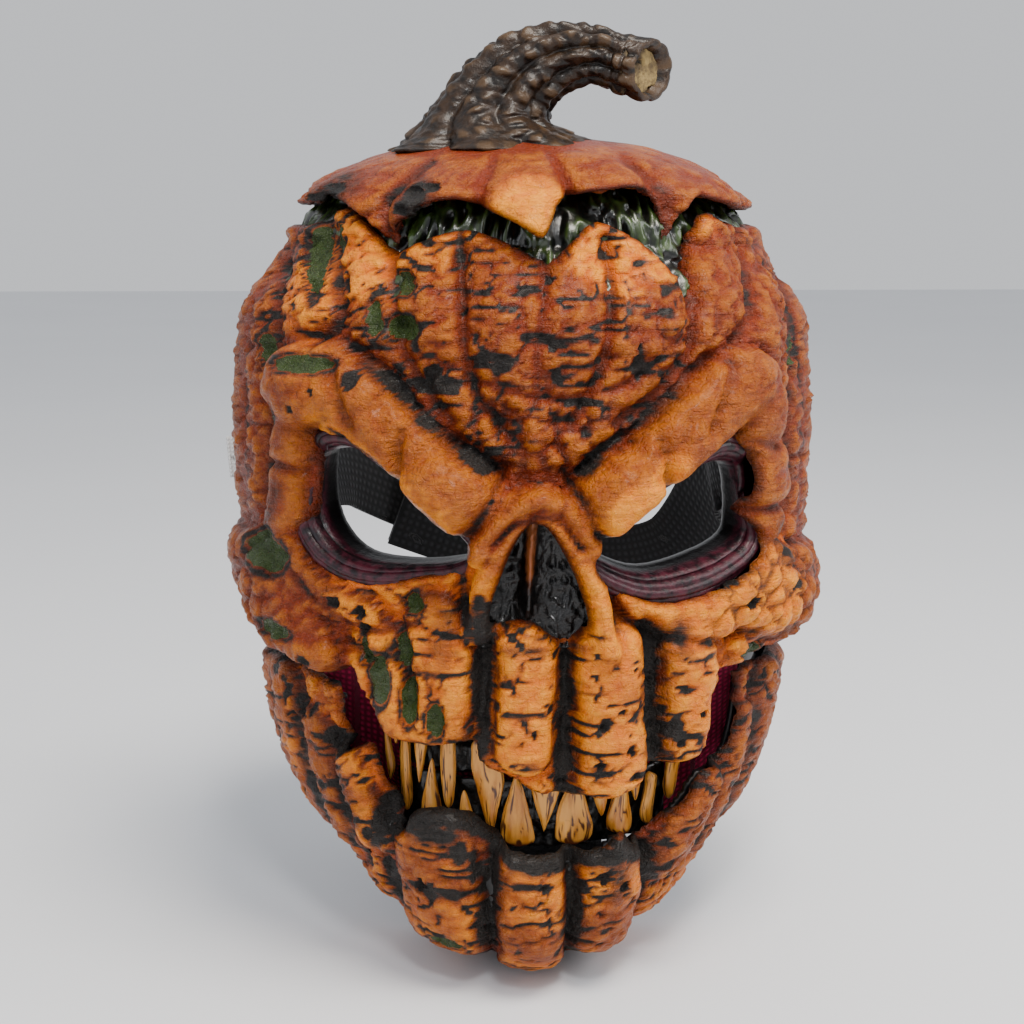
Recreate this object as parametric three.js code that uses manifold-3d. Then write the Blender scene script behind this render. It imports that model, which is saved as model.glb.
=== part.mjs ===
// A jack-o'-lantern mask with a moving mouth: foamed latex skins over thin plastic shells, a jaw hinged
// on two rivets beside the ears, foam pads inside and an elastic harness behind.
// Millimetres. +Z is up, the face looks towards -Y and +X is on the wearer's left. Heights count from
// eye level; the finished group is moved so that the origin is the middle of the forehead pad's back.
import * as THREE from 'three';
import { mergeVertices } from 'three/addons/utils/BufferGeometryUtils.js';
import Module from 'manifold-3d';

const wasm = await Module();
wasm.setup();

// ---- driving dimensions ------------------------------------------------------------------------

// The head's outer form, as rows of height, half width and depth in front of the ears.
const headSections = [
  [-150, 70, 84], [-120, 84, 90], [-90, 94, 92], [-60, 98, 93], [-32, 101, 94], [-10, 101, 93.5],
  [23, 102.5, 93], [59, 101, 92], [76, 98, 90], [93, 86, 79], [98, 83, 75],
];
const domeBase = 98;
const domeRise = 36;
// The jaw's outer form, in the same three columns.
const jawSections = [
  [-145, 22, 62], [-141, 38, 72], [-132, 54, 82], [-120, 64, 86], [-105, 74, 88], [-90, 83, 89],
  [-60, 92, 90], [-10, 92, 90],
];
const chinBottom = -145;
const rimPlane = 38; // back edge of the half shell
const skinThickness = 5;
const shellGap = 9.5; // from the head form in to the plastic shell
const shellThickness = 2;
const jawShellGap = 5.5;
const rimGap = 5.3; // from the head form in to the eye rims and the nose liner
const rimThickness = 3.6;
const hinge = { y: 6, z: -22, lugFace: 87.7, seatFace: 89.2, bossFace: 92.2, holeRadius: 2.8 };
const toothArc = { halfWidth: 74, depth: 77, thickness: 4 };
const gumFace = { halfWidth: toothArc.halfWidth - 2.3, depth: toothArc.depth - 2.3 };
const padBack = -66; // flat back face of the forehead pad, 33 mm behind the shell's front
const padMiddle = 63;
const strapWidth = 38;
const strapThickness = 1.6;
const topStrapWidth = 25;

// ---- outlines seen from the front, as [x, z] -----------------------------------------------------

const eyeHoles = {
  left: [[-66.5, 32.5], [-62, 35], [-52.4, 34.8], [-41.4, 27.4], [-29, 16.5], [-21, 6.4], [-29, 3.5],
    [-41.7, 2.4], [-54.5, 3.3], [-62.7, 8.8], [-66.8, 18]],
  right: [[19.6, 6.2], [33.2, 17.5], [49.6, 26.3], [60, 28.4], [66.6, 25.3], [68.6, 11.9], [66.2, 4],
    [53.7, 0], [36.8, -2], [23.8, 2.2]],
};
const eyeSockets = {
  left: [[-67.8, 35.5], [-63.8, 38.5], [-57.2, 38.1], [-51.4, 33.9], [-41.4, 26.8], [-29, 14.9],
    [-19.8, 6.5], [-25.4, -0.7], [-35.4, -3.5], [-48.2, -6.3], [-59.6, -5.5], [-68.7, -1.4],
    [-73.8, 5.3], [-70.4, 12.5], [-68.7, 24.2]],
  right: [[18.1, 1.8], [20.6, 7.1], [33.2, 19], [46.2, 27.5], [53, 32.6], [61.8, 36.1], [68.1, 32.5],
    [70.1, 23.2], [69.8, 11.6], [74, 3.1], [70.3, -4.1], [57.4, -11], [40.2, -12.6], [27.1, -7.6],
    [20.6, -3.1]],
};
const noseHole = [[0.2, 14.9], [4.9, 12.3], [12.7, -3.7], [16, -18.1], [8.1, -22.7], [-1.3, -16.7],
  [-13.7, -16.8], [-9, 1.3], [-3.8, 12.4]];
const cheekAndLipEdge = [[-120, -35], [-90.9, -36.4], [-75.9, -35.8], [-65.4, -38.9], [-58.5, -36.1],
  [-56, -43.1], [-51.5, -50.9], [-47.4, -57.1], [-32.8, -58.5], [-20.1, -57.4], [-17.6, -64.1],
  [-5.9, -69.4], [3.7, -75], [21.5, -75.8], [33, -73], [39.7, -68.9], [51.9, -66.1], [55.9, -54.8],
  [56.9, -44.5], [62.6, -39.6], [71.5, -38.5], [82, -37.8], [120, -35]];
const shellLowerEdge = [[-120, -35.5], [-58, -35.5], [-50, -48], [-46, -54], [-16, -55], [0, -64],
  [48, -63], [54, -52], [57, -37], [120, -35.5]];
const jawTopEdge = [[-120, -44], [-67.1, -44], [-65.6, -50.9], [-62.1, -65.9], [-59, -66.1],
  [-52.7, -63.2], [-48, -78.4], [-42.5, -91.8], [-38.1, -83.3], [-29.8, -80.2], [-20.2, -82.6],
  [-13.8, -89.1], [-7.3, -93.4], [8.9, -95.4], [22.1, -94.1], [28.8, -89.8], [34.2, -96.5],
  [39.3, -92.1], [49.8, -84], [56.9, -75.1], [64.1, -74.9], [67.9, -69.9], [71.1, -57.9], [71.6, -47.5],
  [76, -44], [120, -44]];
const skinTopEdge = [[-120, 103.8], [-75.5, 103.8], [-59.3, 109.9], [-45.8, 96.7], [-42.6, 96.7],
  [-23.8, 103], [-9.9, 100.1], [4.7, 93.5], [13.3, 100], [21.3, 105.5], [34.2, 99.8], [47, 88.9],
  [50.1, 82.7], [55.2, 107.3], [73.3, 103.8], [120, 103.8]];
const lidLowerEdge = [[-120, 110.4], [-72.2, 110.4], [-59.6, 113.7], [-44.9, 98.2], [-41, 104.4],
  [-31.5, 110.6], [-22.1, 112.2], [-12.9, 109.1], [-3.7, 104.6], [2.4, 100.7], [5.6, 106.1],
  [9, 112.2], [21.9, 115.2], [35.1, 115.2], [42.8, 107.5], [45, 98.1], [50.4, 112.1], [56, 112.1],
  [74, 108.5], [120, 108.5]];
const upperTeeth = [
  [[-48.8, -61.9], [-48.5, -68.5], [-47.6, -75.9], [-46.4, -79.8], [-44.7, -74.8], [-46.2, -67.9],
    [-47.3, -62.6]],
  [[-46.2, -62], [-44.4, -66.8], [-43.7, -62.2]],
  [[-42.7, -63.1], [-43.5, -73.7], [-43, -86.2], [-40.8, -89.3], [-39, -85.3], [-39.2, -76.3],
    [-40, -62.7]],
  [[-38.7, -62.5], [-38.1, -70.9], [-37, -78.5], [-35.9, -75.5], [-34.8, -70], [-33.6, -61.6]],
  [[-29.4, -61.2], [-30, -73], [-28.6, -83.5], [-26.9, -85.7], [-25.2, -83.1], [-24.4, -74],
    [-24.9, -60.8]],
  [[-19, -61], [-20, -68.3], [-18.8, -76.4], [-14.6, -90.3], [-12.4, -92.6], [-10.6, -84.6],
    [-8.4, -76.6], [-9, -70.1], [-11.6, -61.6]],
  [[-1.5, -70.7], [3.5, -90.5], [4.5, -91.9], [5.6, -89.5], [9.3, -79.7], [10.6, -72.2]],
  [[19.3, -76.2], [23.4, -88.8], [26.1, -80.4], [26.4, -77.1]],
  [[31.8, -70.9], [35.2, -85.5], [37.7, -74.6], [38, -71.9]],
  [[47.4, -72.9], [44.6, -82.4], [47.3, -88.4], [51.3, -82.4], [52.3, -74.2]],
];
const lowerTeeth = [
  [[-32.5, -69.5], [-35.2, -79.2], [-36.4, -88.2], [-29, -87.1], [-30.6, -78.5]],
  [[-22, -79], [-23.6, -84.5], [-23.4, -91.8], [-17.2, -92.9], [-19.4, -85.1]],
  [[-5.1, -72.8], [-7.6, -79], [-10, -88.4], [-9.8, -96], [0.4, -96.5], [1.4, -92.1], [-0.5, -84.5],
    [-2.5, -77.2]],
  [[12.3, -77.7], [8.9, -83.7], [7.2, -92.3], [9, -96.5], [18.8, -96.5], [21.1, -91.7], [19.4, -85.3],
    [16.6, -78.1]],
  [[30.5, -76.2], [28, -80.7], [26, -85.3], [24.4, -90.7], [26.2, -94.8], [33, -95.8],
    [34.7, -92.3], [33.8, -86.7], [32.2, -79.3]],
  [[39.4, -77], [38.1, -83.1], [36.4, -90.7], [38.3, -94.5], [41.3, -94.5], [41.9, -90.1],
    [43.2, -80.4], [42.9, -77.9]],
];

// Raised flesh on the skins: each is a chain of [x, z], its radius and how far it stands out.
const faceSwellings = [
  { chain: [[-62, 50], [-41, 39], [-23, 23]], radius: 14, height: 11 },
  { chain: [[63, 53], [49.5, 41], [36, 27], [20, 21]], radius: 14, height: 11 },
  { chain: [[69, 52], [75, 33], [77, 18]], radius: 8, height: 6 },
  { chain: [[-1, 17], [-12, 0], [-17, -13]], radius: 7, height: 7 },
  { chain: [[3, 17], [13, 2], [18, -23]], radius: 8, height: 7 },
  { chain: [[-91, -12], [-82, -22], [-69, -29]], radius: 15, height: 5 },
  { chain: [[68, -7], [80, -20], [90, -24]], radius: 15, height: 5 },
  { chain: [[-2, -24], [-2, -62]], radius: 12, height: 5 },
  { chain: [[22, -27], [23, -70]], radius: 14, height: 6 },
  { chain: [[48, -26], [49, -62]], radius: 11, height: 5 },
  { chain: [[-42, -14], [-32, -34], [-30, -50]], radius: 14, height: 4 },
];
const jawSwellings = [
  { chain: [[-33, -92], [-28, -128]], radius: 17, height: 4 },
  { chain: [[-1, -96], [0, -134]], radius: 15, height: 4 },
  { chain: [[27, -98], [24, -128]], radius: 15, height: 4 },
  { chain: [[-56, -74], [-48, -100]], radius: 9, height: 4 },
  { chain: [[57, -80], [44, -106]], radius: 10, height: 4 },
];
const ribCount = 18;
const ribHeight = 2;

const finishes = {
  skin: { color: 0xc25c28, roughness: 0.55, metalness: 0 },
  stem: { color: 0x4f4030, roughness: 0.4, metalness: 0 },
  pulp: { color: 0x46552d, roughness: 0.3, metalness: 0 },
  rim: { color: 0x3a2226, roughness: 0.3, metalness: 0 },
  blackPlastic: { color: 0x141414, roughness: 0.5, metalness: 0 },
  gum: { color: 0x101012, roughness: 0.5, metalness: 0 },
  tooth: { color: 0xe2a457, roughness: 0.5, metalness: 0 },
  foam: { color: 0x222224, roughness: 0.95, metalness: 0 },
  stemCore: { color: 0xb8b09a, roughness: 0.95, metalness: 0 },
  webbing: { color: 0x18181a, roughness: 0.9, metalness: 0 },
  crimsonCloth: { color: 0x73102d, roughness: 0.9, metalness: 0 },
  steel: { color: 0x9a9a9c, roughness: 0.35, metalness: 1 },
  nylon: { color: 0xe8e6df, roughness: 0.45, metalness: 0 },
  tagCloth: { color: 0xf2f2f0, roughness: 0.8, metalness: 0 },
};

// ---- solids --------------------------------------------------------------------------------------

function toSolid(geometry) {
  const bare = geometry.clone();
  bare.deleteAttribute('normal');
  bare.deleteAttribute('uv');
  const merged = mergeVertices(bare, 1e-4);
  return new wasm.Manifold(new wasm.Mesh({
    numProp: 3,
    vertProperties: new Float32Array(merged.attributes.position.array),
    triVerts: new Uint32Array(merged.index.array),
  }));
}

function toGeometry(solid) {
  const mesh = solid.getMesh();
  const geometry = new THREE.BufferGeometry();
  geometry.setAttribute('position', new THREE.BufferAttribute(new Float32Array(mesh.vertProperties), 3));
  geometry.setIndex([...mesh.triVerts]);
  geometry.computeVertexNormals();
  return geometry;
}

function cutBy(solid, ...tools) {
  return tools.reduce((left, tool) => left.subtract(tool), solid);
}

// Joins rings of equal length into a closed body, with a fan at each end.
function loftRings(rings) {
  const count = rings[0].length;
  const points = rings.flat();
  const triangles = [];
  for (let ring = 0; ring < rings.length - 1; ring += 1) {
    for (let step = 0; step < count; step += 1) {
      const a = ring * count + step;
      const b = ring * count + ((step + 1) % count);
      triangles.push(a, b, b + count, a, b + count, a + count);
    }
  }
  const last = (rings.length - 1) * count;
  const middle = (ring) => ring.reduce((sum, p) => sum.add(p), new THREE.Vector3()).divideScalar(count);
  points.push(middle(rings[0]), middle(rings[rings.length - 1]));
  for (let step = 0; step < count; step += 1) {
    const next = (step + 1) % count;
    triangles.push(points.length - 2, next, step, points.length - 1, last + step, last + next);
  }
  const geometry = new THREE.BufferGeometry().setFromPoints(points);
  geometry.setIndex(triangles);
  return geometry;
}

// An outline in X and Z, pushed from yFront back to yBack.
function prismAlongY(outline, yFront, yBack) {
  const shape = new THREE.Shape(outline.map(([x, z]) => new THREE.Vector2(x, z)));
  const geometry = new THREE.ExtrudeGeometry(shape, { depth: yBack - yFront, bevelEnabled: false });
  return geometry.rotateX(Math.PI / 2).translate(0, yBack, 0);
}

// An outline in Y and Z, pushed from xLow to xHigh.
function prismAlongX(outline, xLow, xHigh) {
  const shape = new THREE.Shape(outline.map(([y, z]) => new THREE.Vector2(y, z)));
  const geometry = new THREE.ExtrudeGeometry(shape, { depth: xHigh - xLow, bevelEnabled: false });
  const turn = new THREE.Matrix4().makeBasis(
    new THREE.Vector3(0, 1, 0), new THREE.Vector3(0, 0, 1), new THREE.Vector3(1, 0, 0));
  return geometry.applyMatrix4(turn).translate(xLow, 0, 0);
}

function block(low, high) {
  const size = high.map((value, axis) => value - low[axis]);
  const middle = high.map((value, axis) => (value + low[axis]) / 2);
  return new THREE.BoxGeometry(...size).translate(...middle);
}

// A round bar from one point to another.
function bar(from, to, radius, sides = 20) {
  const start = new THREE.Vector3(...from);
  const end = new THREE.Vector3(...to);
  const along = end.clone().sub(start);
  const turn = new THREE.Quaternion().setFromUnitVectors(
    new THREE.Vector3(0, 1, 0), along.clone().normalize());
  const middle = start.clone().add(end).divideScalar(2);
  return new THREE.CylinderGeometry(radius, radius, along.length(), sides)
    .applyQuaternion(turn)
    .translate(middle.x, middle.y, middle.z);
}

function grownOutline(outline, factor) {
  const middleX = outline.reduce((sum, p) => sum + p[0], 0) / outline.length;
  const middleZ = outline.reduce((sum, p) => sum + p[1], 0) / outline.length;
  return outline.map(([x, z]) => [middleX + (x - middleX) * factor, middleZ + (z - middleZ) * factor]);
}

// ---- the head and jaw forms ----------------------------------------------------------------------

// A smooth value between the rows of a table; column 1 is the half width and column 2 the depth.
function sectionValue(table, z, column) {
  const last = table.length - 1;
  let row = 0;
  while (row < last - 1 && z > table[row + 1][0]) row += 1;
  const slopeAt = (k) => {
    const below = table[Math.max(k - 1, 0)];
    const above = table[Math.min(k + 1, last)];
    return (above[column] - below[column]) / (above[0] - below[0]);
  };
  const span = table[row + 1][0] - table[row][0];
  const t = THREE.MathUtils.clamp((z - table[row][0]) / span, 0, 1);
  const [before, after] = [table[row][column], table[row + 1][column]];
  return before * (1 + 2 * t) * (1 - t) ** 2 + after * t * t * (3 - 2 * t)
    + span * slopeAt(row) * t * (1 - t) ** 2 - span * slopeAt(row + 1) * t * t * (1 - t);
}

// Half width and depth of the head at a height, with the surface moved out by offset.
function headSize(z, offset) {
  const up = Math.max(z - domeBase, 0) / (domeRise + offset);
  const shrink = Math.sqrt(Math.max(1 - up * up, 0));
  const low = Math.min(z, domeBase);
  return [1, 2].map((column) => (sectionValue(headSections, low, column) + offset) * shrink);
}

// The same for the jaw, whose underside turns in towards the chin.
function jawSize(z, offset) {
  const turnIn = 1 - THREE.MathUtils.smoothstep(z, -122, -95);
  const lookedUp = Math.max(z + 0.8 * turnIn * offset, chinBottom);
  return [1, 2].map((column) => sectionValue(jawSections, lookedUp, column) + offset * (1 - 0.4 * turnIn));
}

function distanceToChain(x, z, chain) {
  let nearest = Infinity;
  for (let i = 0; i < chain.length - 1; i += 1) {
    const [ax, az] = chain[i];
    const [bx, bz] = chain[i + 1];
    const length2 = (bx - ax) ** 2 + (bz - az) ** 2;
    const t = THREE.MathUtils.clamp(((x - ax) * (bx - ax) + (z - az) * (bz - az)) / length2, 0, 1);
    nearest = Math.min(nearest, Math.hypot(x - ax - t * (bx - ax), z - az - t * (bz - az)));
  }
  return nearest;
}

function relief(angle, z, x, swellings) {
  const ribs = ribHeight * Math.abs(Math.cos((ribCount * angle) / 2)) - ribHeight / 2;
  const swelling = swellings.reduce((highest, { chain, radius, height }) => {
    const near = Math.max(1 - (distanceToChain(x, z, chain) / radius) ** 2, 0);
    return Math.max(highest, height * Math.sqrt(near));
  }, 0);
  return ribs + swelling;
}

// Angles round the head: fine in front of the back rim and coarse behind it, where all is cut away.
function roundAngles(frontSteps) {
  const reach = THREE.MathUtils.degToRad(122);
  const angles = [];
  for (let i = 0; i <= frontSteps; i += 1) angles.push(-reach + (2 * reach * i) / frontSteps);
  for (let i = 1; i < 6; i += 1) angles.push(reach + ((2 * Math.PI - 2 * reach) * i) / 6);
  return angles;
}

function heightsBetween(low, high, steps) {
  return Array.from({ length: steps + 1 }, (_, i) => low + ((high - low) * i) / steps);
}

// Heights of the rings where the sides turn in to the dome; every layer has them, so none meet.
const shoulderHeights = [81, 87, 93, 98, 103, 108, 112.5, 117];
const roundSteps = 30;

// A closed body under the surface that lies offset away from the head or jaw form.
function formSolid(sizeAt, offset, heights, frontSteps, swellings = null) {
  const angles = roundAngles(frontSteps);
  const rings = heights.map((z) => {
    const [halfWidth, depth] = sizeAt(z, offset);
    return angles.map((angle) => {
      const rise = swellings ? relief(angle, z, halfWidth * Math.sin(angle), swellings) : 0;
      const x = (halfWidth + rise) * Math.sin(angle);
      return new THREE.Vector3(x, -(depth + rise) * Math.cos(angle), z);
    });
  });
  return toSolid(loftRings(rings));
}

// Heights of the rings over a dome, from its base to just under its top.
function domeHeights(offset, steps) {
  const turns = Array.from({ length: steps }, (_, i) => ((i + 0.15) / steps) * (Math.PI / 2));
  return [...turns.map((turn) => Math.sin(turn)), 0.9995].map((part) => domeBase + (domeRise + offset) * part);
}

const behindRim = toSolid(block([-200, rimPlane, -200], [200, 200, 200]));

// The wall between two offsets of the head form, in front of the back rim.
function headWall(outer, inner, heights) {
  const outside = formSolid(headSize, outer, heights, roundSteps);
  const past = [heights[0] - 1, ...heights.slice(1), heights[heights.length - 1] + 0.5];
  return cutBy(outside, formSolid(headSize, inner, past, roundSteps), behindRim);
}

// An elliptical band standing upright behind the teeth, inset from the gums' front face.
function gumBand(inset, thickness, angleLow, angleHigh, low, high) {
  const steps = 12;
  const outline = [];
  const place = (angle, depthIn) => outline.push(new THREE.Vector2(
    (gumFace.halfWidth - depthIn) * Math.sin(angle), -(gumFace.depth - depthIn) * Math.cos(angle)));
  for (let i = 0; i <= steps; i += 1) place(angleLow + ((angleHigh - angleLow) * i) / steps, inset);
  for (let i = steps; i >= 0; i -= 1) {
    place(angleLow + ((angleHigh - angleLow) * i) / steps, inset + thickness);
  }
  const band = new THREE.ExtrudeGeometry(new THREE.Shape(outline), { depth: high - low, bevelEnabled: false });
  return toSolid(band.translate(0, 0, low));
}

// ---- skins ---------------------------------------------------------------------------------------

const aboveSkin = toSolid(prismAlongY([...skinTopEdge, [120, 180], [-120, 180]], -150, 100));
const belowLip = toSolid(prismAlongY([...cheekAndLipEdge, [120, -200], [-120, -200]], -150, 100));

function faceSkin() {
  const outsideHeights = [...heightsBetween(-78, 75, 18), ...shoulderHeights.slice(0, -1)];
  const insideHeights = [...heightsBetween(-79, 74, 8), ...shoulderHeights];
  const outside = formSolid(headSize, 0, outsideHeights, 46, faceSwellings);
  const inside = formSolid(headSize, -skinThickness, insideHeights, roundSteps);
  const holes = [...Object.values(eyeSockets), noseHole].map((o) => toSolid(prismAlongY(o, -150, -20)));
  return cutBy(outside, inside, behindRim, aboveSkin, belowLip, ...holes);
}

function crownLid() {
  const outside = formSolid(headSize, 0.5, [94, ...domeHeights(0.5, 6)], roundSteps);
  const inside = formSolid(headSize, -3.5, [93, ...domeHeights(-3.5, 6)], roundSteps);
  const belowLid = toSolid(prismAlongY([...lidLowerEdge, [120, 60], [-120, 60]], -150, 100));
  return cutBy(outside, inside, behindRim, belowLid);
}

function pulpRing() {
  return headWall(-5.5, -8.5, shoulderHeights);
}

function jawSkin() {
  const outside = formSolid(jawSize, 0, jawHeights(0, 8), 40, jawSwellings);
  const inside = formSolid(jawSize, -skinThickness, jawHeights(skinThickness, 5), roundSteps);
  return cutBy(outside, inside, behindJaw(0), aboveJaw(0));
}

// Heights of the jaw's rings, close together where the chin turns under.
function jawHeights(inset, sideSteps, top = -39) {
  const chin = [0, 4, 8.5, 13, 19, 25].map((up) => chinBottom + 0.8 * inset + up);
  return [...chin, ...heightsBetween(-108, top, sideSteps)];
}

// All that lies above the jaw's top edge, with the edge lowered by drop.
function aboveJaw(drop) {
  const edge = jawTopEdge.map(([x, z]) => [x, z - drop]);
  return toSolid(prismAlongY([...edge, [120, 60], [-120, 60]], -150, 100));
}

// All that lies behind the jaw's slanting back edge, which runs from under the ear to the chin.
function behindJaw(forward) {
  const edge = [[18, -30], [18, -48], [14, -64], [-4, -100], [-22, -130], [-30, -150]];
  const outline = [...edge.map(([y, z]) => [y - forward, z]), [100, -150], [100, -30]];
  return toSolid(prismAlongX(outline, -120, 120));
}

// ---- plastic shells and the hinge ----------------------------------------------------------------

function hingeBar(side, xFrom, xTo, radius, sides) {
  return toSolid(bar([side * xFrom, hinge.y, hinge.z], [side * xTo, hinge.y, hinge.z], radius, sides));
}

function upperShell() {
  const inset = shellGap + shellThickness;
  const sides = [...heightsBetween(-69, 75, 5), ...shoulderHeights.slice(0, 4)];
  const dome = (offset) => domeHeights(offset, 5).slice(1);
  const outside = formSolid(headSize, -shellGap, [...sides, ...dome(-shellGap)], roundSteps);
  const inside = formSolid(headSize, -inset, [-70, ...sides.slice(1), ...dome(-inset)], roundSteps);
  const belowShell = toSolid(prismAlongY([...shellLowerEdge, [120, -200], [-120, -200]], -150, 100));
  const eyes = Object.values(eyeHoles)
    .map((outline) => toSolid(prismAlongY(grownOutline(outline, 1.05), -150, -20)));
  let shell = cutBy(outside, inside, behindRim, belowShell, ...eyes);
  for (const side of [-1, 1]) {
    shell = shell.add(hingeBar(side, hinge.seatFace, hinge.bossFace, 12, 24));
    shell = cutBy(shell, hingeBar(side, 70, hinge.seatFace, 9.5, 24),
      hingeBar(side, 70, 110, hinge.holeRadius, 12));
  }
  return cutBy(shell, ...Object.values(strapRivets).map((rivet) => rivetBar(rivet, -8, 10, 2.3)));
}

function jawShell() {
  const inset = jawShellGap + shellThickness;
  const outside = formSolid(jawSize, -jawShellGap, jawHeights(jawShellGap, 5, -8), roundSteps);
  const inside = formSolid(jawSize, -inset, jawHeights(inset, 5, -7), roundSteps);
  const armSide = [[-15, -46], [-15, -8], [16, -8], [16, -46], [100, -46], [100, 20], [-150, 20],
    [-150, -46]];
  const aroundArms = toSolid(prismAlongX(armSide, -120, 120));
  let shell = cutBy(outside, inside, behindJaw(2), aroundArms);
  const frontCut = aboveJaw(2).subtract(toSolid(block([-120, -20, -60], [120, 120, 60])));
  shell = shell.subtract(frontCut);
  for (const side of [-1, 1]) {
    shell = shell.add(hingeBar(side, 84.4, hinge.lugFace, 9, 24));
    shell = cutBy(shell, hingeBar(side, 60, 84.4, 9.5, 24), hingeBar(side, 70, 100, hinge.holeRadius, 12));
  }
  return shell;
}

function hingeRivet(side) {
  const shank = hingeBar(side, 83, 93, 2.5, 12);
  const outerHead = hingeBar(side, 92.5, 94.4, 6, 18);
  const innerHead = hingeBar(side, 82.1, 84.1, 5, 18);
  return shank.add(outerHead).add(innerHead);
}

function hingeWasher(side) {
  return cutBy(hingeBar(side, 88, 88.9, 7.5, 24), hingeBar(side, 80, 95, hinge.holeRadius, 12));
}

// ---- eyes, nose, mouth ---------------------------------------------------------------------------

function eyeRim(side) {
  const wall = headWall(-rimGap, -rimGap - rimThickness, heightsBetween(-24, 50, 5));
  const plate = wall.intersect(toSolid(prismAlongY(grownOutline(eyeSockets[side], 1.16), -150, -20)));
  return plate.subtract(toSolid(prismAlongY(eyeHoles[side], -150, -20)));
}

function noseLiner() {
  const wall = headWall(-rimGap, -rimGap - rimThickness, heightsBetween(-28, 20, 3));
  return wall.intersect(toSolid(prismAlongY(grownOutline(noseHole, 1.12), -150, -20)));
}

function tooth(outline) {
  const middle = outline.reduce((sum, p) => sum + p[0], 0) / outline.length;
  const y = -toothArc.depth * Math.sqrt(1 - (middle / toothArc.halfWidth) ** 2);
  const turn = Math.atan2(middle * toothArc.depth ** 2, -y * toothArc.halfWidth ** 2);
  const half = toothArc.thickness / 2;
  const local = outline.map(([x, z]) => [x - middle, z]);
  return toSolid(prismAlongY(local, -half, half).rotateZ(turn).translate(middle, y, 0));
}

function upperGum() {
  const root = gumBand(0, 6.4, -0.72, 0.8, -66.5, -52);
  const behindTips = gumBand(4.2, 2.2, -0.72, 0.8, -76, -62);
  return root.add(behindTips);
}

function lowerGum() {
  return gumBand(0, 2.4, -0.68, 0.73, -99, -75.5);
}

function mouthLining() {
  const rightHalf = [[0, -58], [16, -56], [30, -51], [40, -45], [49, -41.5], [58, -40], [66, -38], [72, -36]];
  const leftHalf = rightHalf.slice(1).reverse().map(([x, y]) => [-x, y]);
  const front = [...leftHalf, ...rightHalf];
  const back = front.map(([x, y]) => [x, y + 1.2]).reverse();
  const outline = new THREE.Shape([...front, ...back].map(([x, y]) => new THREE.Vector2(x, y)));
  const sheet = new THREE.ExtrudeGeometry(outline, { depth: 56, bevelEnabled: false }).translate(0, 0, -100);
  const seen = [[-74, -44], [-74, -64], [-60, -84], [-44, -100], [44, -100], [60, -84], [74, -64],
    [74, -44], [48, -44], [48, -62], [-48, -62], [-48, -44]];
  return toSolid(sheet).intersect(toSolid(prismAlongY(seen, -100, 0)));
}

// ---- stem ----------------------------------------------------------------------------------------

const stemRings = [
  { at: [-8, -10, 129.5], across: 33, through: 27, tilt: 0 },
  { at: [-11, -10, 139], across: 21, through: 19, tilt: 6 },
  { at: [-8, -11, 147], across: 17, through: 16, tilt: 24 },
  { at: [0, -12, 154.5], across: 14, through: 13.5, tilt: 50 },
  { at: [11, -13, 159.5], across: 11.5, through: 11.5, tilt: 74 },
  { at: [23, -14.5, 160], across: 9.8, through: 10, tilt: 94 },
  { at: [34, -16, 157], across: 9.8, through: 10, tilt: 100 },
  { at: [42, -17, 155], across: 11, through: 10.5, tilt: 96 },
];

// The stem's body with its radii scaled and changed by grow; sink drops the first ring into the lid.
function stemBody(scale, grow, sink) {
  const sides = 16;
  const rings = stemRings.map(({ at, across, through, tilt }, index) => {
    const lean = THREE.MathUtils.degToRad(tilt);
    const drop = index === 0 ? sink : 0;
    return Array.from({ length: sides }, (_, i) => {
      const turn = (2 * Math.PI * i) / sides;
      const a = (across * scale + grow) * Math.sin(turn);
      const b = -(through * scale + grow) * Math.cos(turn);
      return new THREE.Vector3(at[0] + a * Math.cos(lean), at[1] + b, at[2] - a * Math.sin(lean) - drop);
    });
  });
  return loftRings(rings);
}

function stemSkin() {
  const dome = formSolid(headSize, 0.8, [94, ...domeHeights(0.8, 6)], roundSteps);
  const hollow = toSolid(stemBody(0.84, -1.2, 6));
  const endCap = toSolid(block([39, -60, 120], [60, 30, 190]));
  return cutBy(toSolid(stemBody(1, 0, 4)), hollow.subtract(endCap), dome);
}

function stemCore() {
  const dome = formSolid(headSize, 1.2, [94, ...domeHeights(1.2, 6)], roundSteps);
  const endCap = toSolid(block([36, -60, 120], [60, 30, 190]));
  return cutBy(toSolid(stemBody(0.82, -1.6, 4)), dome, endCap);
}

// ---- pads, harness, tag --------------------------------------------------------------------------

function insideShell(clearance) {
  const offset = -(shellGap + shellThickness + clearance);
  return formSolid(headSize, offset, heightsBetween(-69, 75, 5).slice(1).concat(81), roundSteps);
}

function foreheadPad() {
  return insideShell(0.5).intersect(toSolid(block([-38, -100, 48], [38, padBack, 78])));
}

function templePad(side) {
  const inner = 78;
  const piece = block([side > 0 ? inner : -100, -30, 5], [side > 0 ? 100 : -inner, 10, 45]);
  return insideShell(0.5).intersect(toSolid(piece));
}

function chinPad() {
  const inset = jawShellGap + shellThickness + 0.9;
  const room = formSolid(jawSize, -inset, jawHeights(inset, 2, -90), roundSteps);
  return room.intersect(toSolid(block([-26, -100, -129], [26, -44, -103])));
}

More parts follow.
